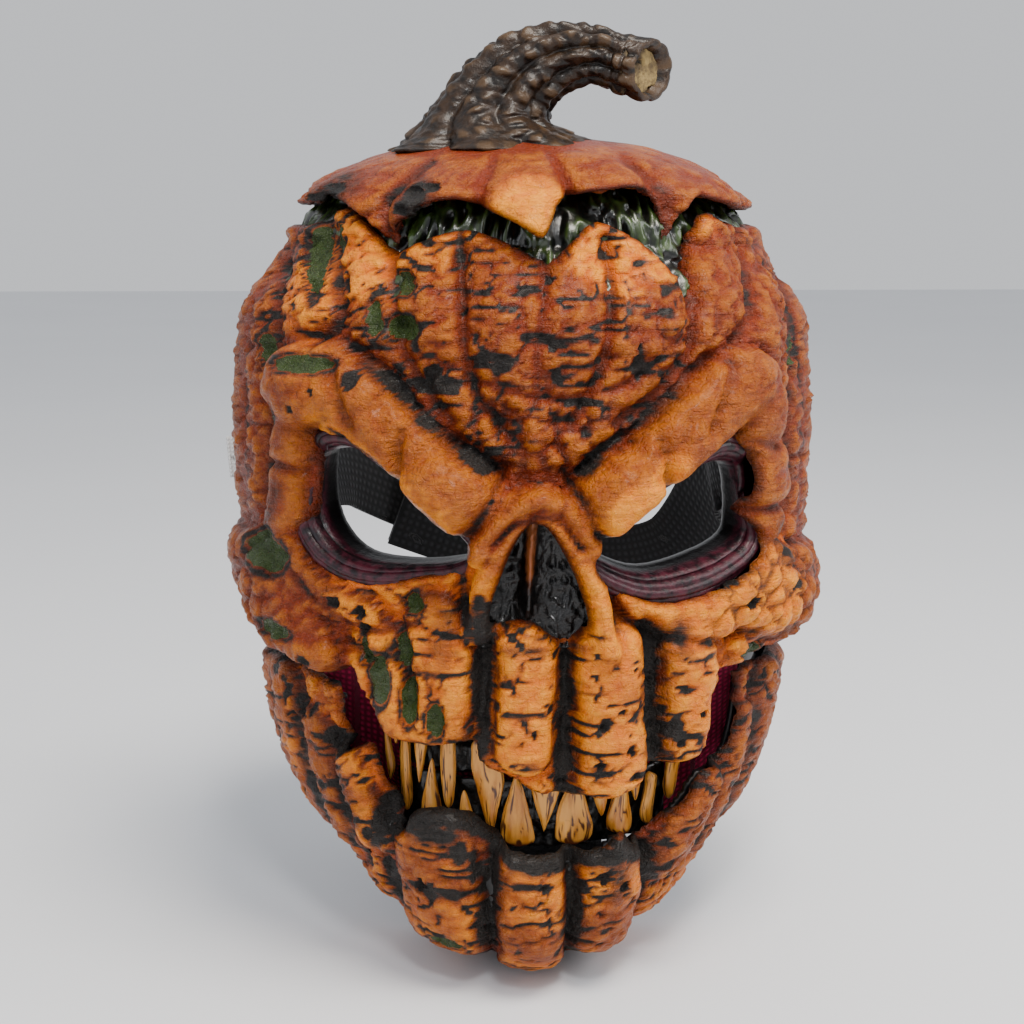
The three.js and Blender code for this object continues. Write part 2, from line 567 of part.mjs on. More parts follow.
// A flat band along a curve through [x, y, z] points. It starts at the share of the curve that from
// gives, and lift moves it off the curve towards its outer face.
function flatBand(path, width, thickness, { from = 0, lift = 0, samples = 24 } = {}) {
  const curve = new THREE.CatmullRomCurve3(path.points.map((point) => new THREE.Vector3(...point)));
  const rings = heightsBetween(from, 1, samples).map((t) => {
    const along = curve.getTangent(t);
    const [first, last] = path.widthAt.map((way) => new THREE.Vector3(...way));
    const lean = first.lerp(last, Math.min(t * 1.4, 1));
    const across = lean.sub(along.clone().multiplyScalar(lean.dot(along))).normalize();
    const outward = across.clone().cross(along).multiplyScalar(path.outerSide).normalize();
    const centre = curve.getPoint(t).addScaledVector(outward, lift);
    const corner = (u, v) => centre.clone()
      .addScaledVector(across, (u * width) / 2)
      .addScaledVector(outward, (v * path.outerSide * thickness) / 2);
    return [corner(1, -1), corner(-1, -1), corner(-1, 1), corner(1, 1)];
  });
  return toSolid(loftRings(rings));
}

// Each harness path: its points, which way its width lies at the two ends, and which side faces out.
const strapPaths = {
  left: {
    points: [[-85.6, 16, 16], [-81.8, 28, 15], [-77.3, 37, 14], [-76, 43, 13], [-75.6, 56, 11],
      [-66, 80, 6], [-38, 99.9, -9], [-8, 106.8, -21]],
    widthAt: [[0, 0, 1], [-0.3, 0, 1]],
    outerSide: 1,
  },
  right: {
    points: [[85.6, 16, 16], [81.6, 28, 15], [76.8, 37, 13], [75.4, 44, 10], [79, 60, -4], [68, 84, -36],
      [34, 97, -44], [0, 97.6, -31], [-46, 88, -12]],
    widthAt: [[0, 0, 1], [-0.35, 0, 1]],
    outerSide: -1,
  },
  top: {
    points: [[0, 18, 119.6], [0, 28, 118.1], [0, 37, 115.9], [0, 44, 112.5], [0, 62, 101], [0, 88, 72],
      [0, 105, 30], [3, 112.6, -4], [5, 113.6, -22]],
    widthAt: [[1, 0, 0], [1, 0, 0]],
    outerSide: 1,
  },
};
const strapRivets = {
  left: { at: [-84.4, 20, 15.7], out: [-0.962, 0.272, 0] },
  right: { at: [84.4, 20, 15.7], out: [0.962, 0.272, 0] },
  top: { at: [0, 24, 118.9], out: [0, 0.156, 0.988] },
};

// A bar along a strap rivet's own line, between two distances out from the strap's middle.
function rivetBar({ at, out }, low, high, radius, sides = 12) {
  const point = (distance) => at.map((value, axis) => value + out[axis] * distance);
  return toSolid(bar(point(low), point(high), radius, sides));
}

function strapRivet(rivet) {
  const shank = rivetBar(rivet, -1.8, 6.8, 2);
  return shank.add(rivetBar(rivet, 5.9, 7, 4.5, 18)).add(rivetBar(rivet, -2.7, -1.5, 4.5, 18));
}

function strap(name, width) {
  const band = flatBand(strapPaths[name], width, strapThickness);
  return band.subtract(rivetBar(strapRivets[name], -8, 10, 2.3));
}

// The two halves of the hook and loop fastening, between the side straps where they cross.
function hookPatch() {
  return flatBand(strapPaths.left, strapWidth - 3, 0.9, { from: 0.875, lift: -2.2, samples: 3 });
}

function loopPatch() {
  return flatBand(strapPaths.right, strapWidth - 3, 0.9, { from: 0.875, lift: 1.9, samples: 3 });
}

function jawElastic(side) {
  const outline = [[-32, -3], [-24, -3], [-24, -62], [-32, -62]];
  const lean = 5.5;
  const band = prismAlongX(outline, -0.7, 0.7);
  const positions = band.attributes.position;
  for (let i = 0; i < positions.count; i += 1) {
    const down = (-3 - positions.getZ(i)) / 59;
    positions.setX(i, positions.getX(i) + side * (80 - lean * down));
  }
  return toSolid(band);
}

function careTag() {
  const path = {
    points: [[-79.6, 41, 15], [-86, 43.5, 15], [-98, 44.5, 15], [-112, 43, 14]],
    widthAt: [[0, 0, 1], [0, 0, 1]],
    outerSide: 1,
  };
  return flatBand(path, 16, 0.6, { samples: 8 });
}

// ---- the mask ------------------------------------------------------------------------------------

const mask = new THREE.Group();
mask.position.set(0, -padBack, -padMiddle);

function addPiece(name, solid, finish) {
  const mesh = new THREE.Mesh(toGeometry(solid), new THREE.MeshStandardMaterial(finishes[finish]));
  mesh.name = name;
  mask.add(mesh);
}

const sides = { left: -1, right: 1 };

addPiece('face_skin', faceSkin(), 'skin');
addPiece('crown_lid', crownLid(), 'skin');
addPiece('pulp_ring', pulpRing(), 'pulp');
addPiece('stem_skin', stemSkin(), 'stem');
addPiece('stem_core', stemCore(), 'stemCore');
addPiece('upper_shell', upperShell(), 'blackPlastic');
addPiece('nose_liner', noseLiner(), 'gum');
addPiece('upper_gum', upperGum(), 'gum');
addPiece('forehead_pad', foreheadPad(), 'foam');
addPiece('top_strap', strap('top', topStrapWidth), 'webbing');
addPiece('hook_patch', hookPatch(), 'webbing');
addPiece('loop_patch', loopPatch(), 'webbing');
addPiece('care_tag', careTag(), 'tagCloth');
addPiece('jaw_skin', jawSkin(), 'skin');
addPiece('jaw_shell', jawShell(), 'blackPlastic');
addPiece('lower_gum', lowerGum(), 'gum');
addPiece('mouth_lining', mouthLining(), 'crimsonCloth');
addPiece('chin_pad', chinPad(), 'foam');
upperTeeth.forEach((outline, i) => addPiece(`upper_tooth_${i + 1}`, tooth(outline), 'tooth'));
lowerTeeth.forEach((outline, i) => addPiece(`lower_tooth_${i + 1}`, tooth(outline), 'tooth'));
for (const [name, side] of Object.entries(sides)) {
  addPiece(`eye_rim_${name}`, eyeRim(name), 'rim');
  addPiece(`temple_pad_${name}`, templePad(side), 'foam');
  addPiece(`side_strap_${name}`, strap(name, strapWidth), 'webbing');
  addPiece(`hinge_rivet_${name}`, hingeRivet(side), 'steel');
  addPiece(`hinge_washer_${name}`, hingeWasher(side), 'nylon');
  addPiece(`jaw_elastic_${name}`, jawElastic(side), 'webbing');
}
for (const [name, rivet] of Object.entries(strapRivets)) {
  addPiece(`strap_rivet_${name}`, strapRivet(rivet), 'steel');
}

export default mask;
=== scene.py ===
import bpy
import bmesh
import math
import numpy as np
from mathutils import Matrix, Vector


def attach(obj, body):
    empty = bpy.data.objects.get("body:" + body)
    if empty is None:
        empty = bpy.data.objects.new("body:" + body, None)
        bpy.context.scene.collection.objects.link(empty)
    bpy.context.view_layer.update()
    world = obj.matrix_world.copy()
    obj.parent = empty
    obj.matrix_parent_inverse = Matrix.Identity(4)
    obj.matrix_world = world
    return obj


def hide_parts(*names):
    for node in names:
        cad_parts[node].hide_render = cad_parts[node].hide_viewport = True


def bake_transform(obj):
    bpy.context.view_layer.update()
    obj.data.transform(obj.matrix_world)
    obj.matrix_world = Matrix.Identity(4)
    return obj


# A foamed-latex jack-o'-lantern mask: painted skins over thin shells, a hinged jaw, foam pads, a harness.
# Shapes are worked out in millimetres, heights from eye level, then moved once into the shared frame.
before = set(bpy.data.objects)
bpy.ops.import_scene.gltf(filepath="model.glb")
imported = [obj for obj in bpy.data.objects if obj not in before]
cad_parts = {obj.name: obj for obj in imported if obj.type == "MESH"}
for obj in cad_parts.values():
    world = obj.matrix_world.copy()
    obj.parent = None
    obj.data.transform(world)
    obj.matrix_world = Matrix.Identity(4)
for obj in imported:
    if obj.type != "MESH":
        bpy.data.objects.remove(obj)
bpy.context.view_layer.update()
print("frame loaded")

shift = np.array([0.0, 66.0, -63.0])

# the head and jaw forms, in the same tables as the CAD: height, half width, half depth
headTable = np.array([
    [-150, 70, 84], [-120, 84, 90], [-90, 94, 92], [-60, 98, 93], [-32, 101, 94], [-10, 101, 93.5],
    [23, 102.5, 93], [59, 101, 92], [76, 98, 90], [93, 86, 79], [98, 83, 75]], float)
jawTable = np.array([
    [-145, 22, 62], [-141, 38, 72], [-132, 54, 82], [-120, 64, 86], [-105, 74, 88], [-90, 83, 89],
    [-60, 92, 90], [-10, 92, 90]], float)
dome = {"base": 98.0, "rise": 36.0}
rimPlane = 38.0


def smooth(low, high, value):
    part = np.clip((np.asarray(value, float) - low) / (high - low), 0, 1)
    return part * part * (3 - 2 * part)


def tableValue(table, height, column):
    knots, values = table[:, 0], table[:, column]
    slopes = np.empty(len(knots))
    slopes[1:-1] = (values[2:] - values[:-2]) / (knots[2:] - knots[:-2])
    slopes[0] = (values[1] - values[0]) / (knots[1] - knots[0])
    slopes[-1] = (values[-1] - values[-2]) / (knots[-1] - knots[-2])
    k = np.clip(np.searchsorted(knots, height) - 1, 0, len(knots) - 2)
    span = knots[k + 1] - knots[k]
    t = np.clip((height - knots[k]) / span, 0, 1)
    return (values[k] * (1 + 2 * t) * (1 - t) ** 2 + values[k + 1] * t * t * (3 - 2 * t)
            + span * slopes[k] * t * (1 - t) ** 2 - span * slopes[k + 1] * t * t * (1 - t))


def headSize(height, offset):
    up = np.maximum(height - dome["base"], 0) / (dome["rise"] + offset)
    shrink = np.sqrt(np.maximum(1 - up * up, 0))
    low = np.minimum(height, dome["base"])
    return [(tableValue(headTable, low, column) + offset) * shrink for column in (1, 2)]


def jawSize(height, offset):
    turnIn = 1 - smooth(-122, -95, height)
    looked = np.maximum(height + 0.8 * turnIn * offset, -145)
    return [tableValue(jawTable, looked, column) + offset * (1 - 0.4 * turnIn) for column in (1, 2)]


def onForm(sizeAt, angle, height, offset):
    width, depth = sizeAt(height, offset)
    return np.stack([width * np.sin(angle), -depth * np.cos(angle), height + 0 * angle], -1)


# noise and distances
def lattice(points, seed):
    cell = np.floor(points).astype(np.int64)
    part = points - cell
    part = part * part * (3 - 2 * part)
    total = 0
    for dx in (0, 1):
        for dy in (0, 1):
            for dz in (0, 1):
                mixed = ((cell[..., 0] + dx) * 374761393 + (cell[..., 1] + dy) * 668265263
                         + (cell[..., 2] + dz) * 1274126177 + seed * 97531)
                mixed = (mixed ^ (mixed >> 13)) * 1103515245
                mixed = (mixed ^ (mixed >> 16)) & 0xFFFF
                weight = ((part[..., 0] if dx else 1 - part[..., 0])
                          * (part[..., 1] if dy else 1 - part[..., 1])
                          * (part[..., 2] if dz else 1 - part[..., 2]))
                total = total + weight * mixed / 65535
    return total


def layered(points, size, seed, octaves=3):
    total, scale, most = 0, 1.0, 0.0
    for octave in range(octaves):
        total = total + scale * lattice(points / np.asarray(size, float) * 2 ** octave, seed + octave)
        most += scale
        scale *= 0.5
    return total / most


# Distances to the nearest and the second nearest of the spots scattered one to a cell.
def cells(points, size, seed):
    place = points / size
    cell = np.floor(place).astype(np.int64)
    first = np.full(points.shape[:-1], 9.0)
    second = first.copy()
    for dx in (-1, 0, 1):
        for dy in (-1, 0, 1):
            for dz in (-1, 0, 1):
                near = cell + np.array([dx, dy, dz])
                spots = [lattice(near.astype(float), seed + k) for k in range(3)]
                gap = np.sqrt(sum((near[..., k] + spots[k] - place[..., k]) ** 2 for k in range(3)))
                second = np.minimum(second, np.maximum(first, gap))
                first = np.minimum(first, gap)
    return first, second


def toChain(x, z, chain):
    nearest = np.full(np.shape(x), 1e9)
    for (ax, az), (bx, bz) in zip(chain[:-1], chain[1:]):
        length = (bx - ax) ** 2 + (bz - az) ** 2
        t = np.clip(((x - ax) * (bx - ax) + (z - az) * (bz - az)) / length, 0, 1)
        nearest = np.minimum(nearest, np.hypot(x - ax - t * (bx - ax), z - az - t * (bz - az)))
    return nearest


def inside(x, z, outline):
    found = np.zeros(np.shape(x), bool)
    for (ax, az), (bx, bz) in zip(outline, np.roll(outline, -1, 0)):
        if az == bz:
            continue
        crosses = ((az > z) != (bz > z)) & (x < (bx - ax) * (z - az) / (bz - az) + ax)
        found ^= crosses
    return found


def rounded(outline, closed=True, pieces=4):
    points = np.array(outline, float)
    count = len(points)
    made = []
    for k in range(count if closed else count - 1):
        if closed:
            p0, p1, p2, p3 = (points[(k + d) % count] for d in (-1, 0, 1, 2))
        else:
            p0, p1, p2, p3 = (points[min(max(k + d, 0), count - 1)] for d in (-1, 0, 1, 2))
        for step in range(pieces):
            t = step / pieces
            made.append(0.5 * (2 * p1 + (p2 - p0) * t + (2 * p0 - 5 * p1 + 4 * p2 - p3) * t * t
                               + (3 * p1 - p0 - 3 * p2 + p3) * t ** 3))
    if not closed:
        made.append(points[-1])
    return np.array(made)


def nearestOn(x, z, outline, closed=True):
    ends = np.roll(outline, -1, 0) if closed else outline[1:]
    starts = outline if closed else outline[:-1]
    best = np.full(np.shape(x), 1e9)
    bestX, bestZ = x.copy(), z.copy()
    for (ax, az), (bx, bz) in zip(starts, ends):
        length = max((bx - ax) ** 2 + (bz - az) ** 2, 1e-9)
        t = np.clip(((x - ax) * (bx - ax) + (z - az) * (bz - az)) / length, 0, 1)
        px, pz = ax + t * (bx - ax), az + t * (bz - az)
        gap = np.hypot(x - px, z - pz)
        closer = gap < best
        best = np.where(closer, gap, best)
        bestX, bestZ = np.where(closer, px, bestX), np.where(closer, pz, bestZ)
    return best, bestX, bestZ


def blurred(field, radius):
    for axis in (0, 1):
        padded = np.pad(field, [(radius, radius) if k == axis else (0, 0) for k in (0, 1)], mode="edge")
        total = np.cumsum(padded, axis)
        total = np.concatenate([np.zeros_like(np.take(total, [0], axis)), total], axis)
        high = np.take(total, range(2 * radius + 1, total.shape[axis]), axis)
        low = np.take(total, range(0, total.shape[axis] - 2 * radius - 1), axis)
        field = (high - low) / (2 * radius + 1)
    return field


# mesh building
def gridPiece(name, points, keep=None, fields=None, weld=False, thickness=None, offset=-1.0):
    rows, columns = points.shape[:2]
    bm = bmesh.new()
    bmesh.ops.create_grid(bm, x_segments=columns - 1, y_segments=rows - 1, size=1)
    names = sorted(fields or {})
    layers = {key: bm.verts.layers.float.new(key) for key in names}
    order = []
    for vert in bm.verts:
        column = round((vert.co.x + 1) / 2 * (columns - 1))
        row = round((vert.co.y + 1) / 2 * (rows - 1))
        order.append((row, column))
    index = np.array(order)
    place = (points[index[:, 0], index[:, 1]] + shift) / 1000
    values = {key: fields[key][index[:, 0], index[:, 1]] for key in names}
    if keep is not None:
        bm.verts.index_update()
        doomed = []
        for face in bm.faces:
            corner = min(index[v.index, 0] for v in face.verts), min(index[v.index, 1] for v in face.verts)
            if not keep[corner]:
                doomed.append(face)
    for k, vert in enumerate(bm.verts):
        vert.co = place[k]
        for key in names:
            vert[layers[key]] = float(values[key][k])
    if keep is not None:
        bmesh.ops.delete(bm, geom=doomed, context="FACES")
    if weld:
        bmesh.ops.remove_doubles(bm, verts=bm.verts, dist=2e-6)
        closed = all(edge.is_manifold for edge in bm.edges)
        if closed:
            bmesh.ops.recalc_face_normals(bm, faces=bm.faces)
    mesh = bpy.data.meshes.new(name)
    for face in bm.faces:
        face.smooth = True
    bm.to_mesh(mesh)
    bm.free()
    piece = bpy.data.objects.new(name, mesh)
    bpy.context.collection.objects.link(piece)
    if thickness:
        wall = piece.modifiers.new("wall", "SOLIDIFY")
        wall.thickness = thickness / 1000
        wall.offset = offset
    return piece


def turnOutward(piece, centre):
    mesh = piece.data
    middle = (np.array(centre, float) + shift) / 1000
    total = sum((face.center - Vector(middle)).dot(face.normal) * face.area for face in mesh.polygons)
    if total < 0:
        mesh.flip_normals()
    return piece


def finishPiece(piece, body, material, slot, *nodes):
    piece.data.materials.append(material)
    if body:
        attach(piece, body)
    if nodes:
        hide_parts(*nodes)
    return piece


# materials
def colour(text):
    parts = [int(text[k:k + 2], 16) / 255 for k in (0, 2, 4)]
    return (*[p / 12.92 if p <= 0.04045 else ((p + 0.055) / 1.055) ** 2.4 for p in parts], 1.0)


# Adds one node with its settings. An input takes a value or a socket to link; out picks an output.
def addNode(tree, kind, inputs=None, out=None, **settings):
    node = tree.nodes.new("ShaderNode" + kind)
    for key, value in settings.items():
        setattr(node, key, value)
    for key, value in (inputs or {}).items():
        if isinstance(value, bpy.types.NodeSocket):
            tree.links.new(value, node.inputs[key])
        else:
            node.inputs[key].default_value = value
    return node if out is None else node.outputs[out]


# settings shared by many nodes
smoothStep = {"out": 0, "interpolation_type": "SMOOTHSTEP"}
asColour = {"out": 2, "data_type": "RGBA"}
plus = {"out": 0, "operation": "ADD"}
timesPlus = {"out": 0, "operation": "MULTIPLY_ADD"}
clampedPlus = {"out": 0, "operation": "ADD", "use_clamp": True}
clampedTimes = {"out": 0, "operation": "MULTIPLY", "use_clamp": True}


def newMaterial(name, **principled):
    material = bpy.data.materials.new(name)
    material.use_nodes = True
    tree = material.node_tree
    tree.nodes.clear()
    shader = addNode(tree, "BsdfPrincipled", principled.get("inputs"))
    addNode(tree, "OutputMaterial", {"Surface": shader.outputs[0]})
    place = addNode(tree, "TexCoord", out="Object")
    return material, tree, shader, place


def pattern(tree, place, size, detail=3.0, roughness=0.55, stretch=(1, 1, 1), distortion=0.0):
    scaled = addNode(tree, "Mapping", {
        "Vector": place, "Scale": [s * 1000 / size for s in stretch]}, out=0)
    return addNode(tree, "TexNoise", {
        "Vector": scaled, "Scale": 1.0, "Detail": detail, "Roughness": roughness,
        "Distortion": distortion}, out=0)


# Foamed latex, cast in a plaster mould and sponge-painted: deep orange with rust washes and a charcoal
# airbrushed wash in every groove, a pale orange coat on the swollen parts that is partly drybrush and
# partly painted highlight, and painted shade round the foot of each roll; gives the eye soft satin
# highlights on the swollen parts.
def latexSkin():
    material, tree, shader, place = newMaterial("castFoamLatexSpongePainted", inputs={
        "IOR": 1.45, "Specular IOR Level": 0.28, "Subsurface Weight": 0.04, "Subsurface Scale": 0.002,
        "Coat Weight": 0.05, "Coat Roughness": 0.15})
    field = {key: addNode(tree, "Attribute", out="Fac", attribute_name=key)
             for key in ("dark", "green", "raised", "rust")}
    broad = pattern(tree, place, 22, 4, 0.6)
    mottled = pattern(tree, place, 5, 5, 0.65)
    fine = pattern(tree, place, 1.4, 4, 0.6)
    strokes = pattern(tree, place, 5, 5, 0.7, stretch=(0.45, 0.45, 2.4), distortion=0.6)
    scratched = pattern(tree, place, 1.6, 3, 0.6, stretch=(0.25, 0.25, 1.6), distortion=1.0)
    rusted = addNode(tree, "Math", {0: field["rust"], 1: broad}, **plus)
    rustShare = addNode(tree, "MapRange", {0: rusted, 1: 0.62, 2: 1.02}, **smoothStep)
    blotched = addNode(tree, "MapRange", {0: mottled, 1: 0.5, 2: 0.75, 4: 0.42}, **smoothStep)
    freckled = addNode(tree, "MapRange", {0: fine, 1: 0.52, 2: 0.72, 4: 0.22}, **smoothStep)
    drybrushAndHighlightMottle = addNode(tree, "MapRange", {0: mottled, 1: 0.3, 2: 0.65, 3: 0.3}, **smoothStep)
    clean = addNode(tree, "MapRange", {0: rustShare, 3: 1.0, 4: 0.3}, **smoothStep)
    # the pale coat: drybrush and painted highlight on the raised parts, mottled and thinned in the rust
    # patches
    lift = addNode(tree, "Math", {0: field["raised"], 1: drybrushAndHighlightMottle}, **clampedTimes)
    lift = addNode(tree, "Math", {0: lift, 1: clean}, **clampedTimes)
    edge = addNode(tree, "Math", {0: strokes, 1: -0.5}, **plus)
    ragged = addNode(tree, "Math", {0: edge, 1: 0.65, 2: field["dark"]}, **timesPlus)
    # brown and charcoal washes: paint in the grooves, plus the painted shade round the rolls' feet
    brownWashAndShade = addNode(tree, "MapRange", {0: ragged, 1: 0.18, 2: 0.54, 4: 0.56}, **smoothStep)
    charcoalAndShade = addNode(tree, "MapRange", {0: ragged, 1: 0.48, 2: 0.74}, **smoothStep)
    speckled = addNode(tree, "Math", {0: mottled, 1: 0.4, 2: -0.2}, **timesPlus)
    mossy = addNode(tree, "Math", {0: field["green"], 1: speckled}, **clampedPlus)
    greenShare = addNode(tree, "MapRange", {0: mossy, 1: 0.4, 2: 0.62}, **smoothStep)
    char = addNode(tree, "Mix", {0: mottled, 6: colour("0B0908"), 7: colour("2B2623")}, **asColour)
    moss = addNode(tree, "Mix", {0: mottled, 6: colour("121A0A"), 7: colour("46562A")}, **asColour)
    # each coat of paint goes over the ones before it; the pale EE9414 coat is partly drybrush and partly
    # painted highlight, and the brown and charcoal washes also carry painted shade round the rolls' feet
    base = colour("D06208")
    for amount, paint in ((rustShare, colour("76280A")), (blotched, colour("86320A")),
                          (freckled, colour("C05A0C")), (lift, colour("EE9414")),
                          (brownWashAndShade, colour("421708")), (charcoalAndShade, char), (greenShare, moss)):
        base = addNode(tree, "Mix", {0: amount, 6: base, 7: paint}, **asColour)
    rough = (0.34, 0.34, 0.34, 1)
    for amount, gloss in ((charcoalAndShade, 0.5), (greenShare, 0.13)):
        rough = addNode(tree, "Mix", {0: amount, 6: rough, 7: (gloss, gloss, gloss, 1)}, **asColour)
    warp = addNode(tree, "TexNoise", {"Vector": place, "Scale": 300.0, "Detail": 2.0}, out=1)
    bent = addNode(tree, "Mix", {0: 0.004, 4: place, 5: warp}, out=1, data_type="VECTOR")
    net = addNode(tree, "TexVoronoi", {"Vector": bent, "Scale": 1000 / 3.6}, out="Distance",
                  feature="DISTANCE_TO_EDGE")
    creased = addNode(tree, "MapRange", {0: net, 1: 0.0, 2: 0.14}, **smoothStep)
    relief = mottled
    for layer, share in ((fine, 0.4), (creased, 0.14), (strokes, 0.9), (scratched, 0.35)):
        relief = addNode(tree, "Math", {0: layer, 1: share, 2: relief}, **timesPlus)
    bump = addNode(tree, "Bump", {"Strength": 1.0, "Distance": 0.0018, "Height": relief}, out=0)
    tree.links.new(base, shader.inputs["Base Color"])
    tree.links.new(rough, shader.inputs["Roughness"])
    tree.links.new(bump, shader.inputs["Normal"])
    return material


# A plain two-tone material: darker in the broad pattern's hollows, with a fine bump over it.
def twoTone(name, dark, light, size, roughness, bumpMm, stretch=(1, 1, 1), coat=0.0, fieldName=None,
            fieldColour=None, metallic=0.0, low=0.35, high=0.65, specular=0.5):
    material, tree, shader, place = newMaterial(name, inputs={
        "Roughness": roughness, "Coat Weight": coat, "Coat Roughness": 0.12, "Metallic": metallic,
        "Specular IOR Level": specular})
    broad = pattern(tree, place, size, 5, 0.6, stretch)
    fine = pattern(tree, place, size / 4, 3, 0.6)
    share = addNode(tree, "MapRange", {0: broad, 1: low, 2: high}, **smoothStep)
    base = addNode(tree, "Mix", {0: share, 6: colour(dark), 7: colour(light)}, **asColour)
    if fieldName:
        field = addNode(tree, "Attribute", out="Fac", attribute_name=fieldName)
        ragged = addNode(tree, "Math", {0: broad, 1: 0.6, 2: field}, **timesPlus)
        share = addNode(tree, "MapRange", {0: ragged, 1: 0.5, 2: 1.0}, **smoothStep)
        base = addNode(tree, "Mix", {0: share, 6: base, 7: colour(fieldColour)}, **asColour)
    height = addNode(tree, "Math", {0: fine, 1: 0.35, 2: broad}, **timesPlus)
    bump = addNode(tree, "Bump", {"Strength": 0.6, "Distance": bumpMm / 1000, "Height": height}, out=0)
    tree.links.new(base, shader.inputs["Base Color"])
    tree.links.new(bump, shader.inputs["Normal"])
    return material


# Woven polyester webbing: a fine over-and-under rib across the band; gives a dull black ribbed sheen.
def webbing(name, dark, light, ribMm):
    material, tree, shader, place = newMaterial(name, inputs={
        "Roughness": 0.82, "Sheen Weight": 0.15, "Sheen Roughness": 0.5})
    own = addNode(tree, "UVMap", out=0, uv_map="weave")
    along, across = (addNode(tree, "TexWave", {
        "Vector": own, "Scale": 1000 / ribMm / 6.2832, "Distortion": 0.4, "Detail": 1.0},
        out="Fac", wave_type="BANDS", bands_direction=way) for way in ("X", "Y"))
    weave = addNode(tree, "Math", {0: along, 1: across}, **clampedTimes)
    base = addNode(tree, "Mix", {0: weave, 6: colour(dark), 7: colour(light)}, **asColour)
    bump = addNode(tree, "Bump", {"Strength": 0.8, "Distance": 0.0004, "Height": weave}, out=0)
    tree.links.new(base, shader.inputs["Base Color"])
    tree.links.new(bump, shader.inputs["Normal"])
    return material


skinFinish = latexSkin()
# Latex stalk skin, brush-painted brown and dry-brushed; a wet varnish makes its ridges glint.
stalkFinish = twoTone("castLatexStalkVarnished", "0E0805", "2C1C0D", 5, 0.42, 0.8, coat=0.12,
                      fieldName="raised", fieldColour="46331F", specular=0.3)
# Open-cell foam core in the stalk's cut end, painted tan with a sponge.
coreFinish = twoTone("openCellFoamTan", "4A3A22", "8C7648", 4, 0.85, 1.2, fieldName="dark",
                     fieldColour="1A120C")
# Gloss-varnished latex pulp: dark green strings that catch the light like wet seed pulp.
pulpFinish = twoTone("castLatexPulpGloss", "0A0F06", "34461A", 4, 0.3, 0.5, (1, 1, 0.3), 0.25,
                     "dark", "070805")
# Eye rims of cast latex under gloss varnish: almost black purple flesh with a wet look.
rimFinish = twoTone("castLatexRimGloss", "10040A", "451522", 3.5, 0.36, 0.5, coat=0.1,
                    fieldName="dark", fieldColour="030102", specular=0.3)
# Crumpled latex lining of the nose, gloss black.
noseFinish = twoTone("castLatexNoseGloss", "020202", "0C0807", 3, 0.22, 1.2, coat=0.3,
                     fieldName="raised", fieldColour="8A4A22", specular=0.35)
# Latex gums dipped in black, half gloss.
gumFinish = twoTone("dippedLatexGum", "060606", "1B1815", 4, 0.3, 0.8, coat=0.3)
# Cast resin teeth, painted ochre and rubbed with brown in the grooves; satin.
toothFinish = twoTone("castResinToothSatin", "B46A1E", "E09A40", 6, 0.38, 0.35, (1.6, 1.6, 0.3), 0.12,
                      "dark", "4A2008", low=0.3, high=0.6)
# Vacuum-formed black styrene, slightly orange-peeled.
shellFinish = twoTone("vacuumFormedStyreneBlack", "0C0C0D", "18181A", 9, 0.42, 0.15)
# Cut polyurethane foam pads: dull charcoal with fine open pores.
foamFinish = twoTone("cutPolyurethaneFoam", "141416", "2E2E32", 1.6, 0.95, 0.7)
# Knitted crimson polyester behind the mouth; gives a deep pink-red matte patch at both corners.
clothFinish = webbing("knittedCrimsonPolyester", "8A0A38", "F02468", 1.1)
# Woven polyester webbing, flat black with a grey glint on its ribs.
strapFinish = webbing("wovenPolyesterWebbing", "060607", "242428", 1.5)
# Woven elastic, a little greyer and finer than the webbing.
elasticFinish = webbing("wovenElasticBand", "0A0A0B", "2C2C30", 1.2)
# White satin tape, cut and folded; it gives a soft shine.
tagFinish = webbing("wovenSatinTag", "D9D9D6", "F4F4F2", 0.8)
# Hook-and-loop tape: a dense short pile with glinting hooks.
pileFinish = twoTone("hookAndLoopPile", "050505", "3A3A3E", 0.9, 0.5, 0.9)
# Nickel-plated steel rivets, tumbled.
steelFinish = twoTone("nickelPlatedSteel", "8E8E90", "B6B6B8", 3, 0.28, 0.05, metallic=1.0)
# Punched nylon washers, milky.
nylonFinish = twoTone("punchedNylon", "D8D5CC", "ECEAE2", 3, 0.42, 0.05)
print("materials made")


# face skin
def angleGrid(sizeAt, heights, frontSteps, sideSteps, offset=0.0, lastAngle=None):
    front = math.radians(66)
    middle = np.linspace(-front, front, frontSteps + 1)
    share = np.linspace(0, 1, sideSteps + 1)[1:]
    rows = []
    for height in heights:
        depth = sizeAt(np.array(height), offset)[1]
        if lastAngle is not None:
            reach = lastAngle(height, depth)
        else:
            reach = math.acos(max(-rimPlane / depth, -1)) if depth > 1e-6 else math.pi
        side = front + (reach - front) * share
        rows.append(np.concatenate([-side[::-1], middle, side]))
    angle = np.array(rows)
    return angle, np.repeat(np.array(heights, float)[:, None], angle.shape[1], 1)


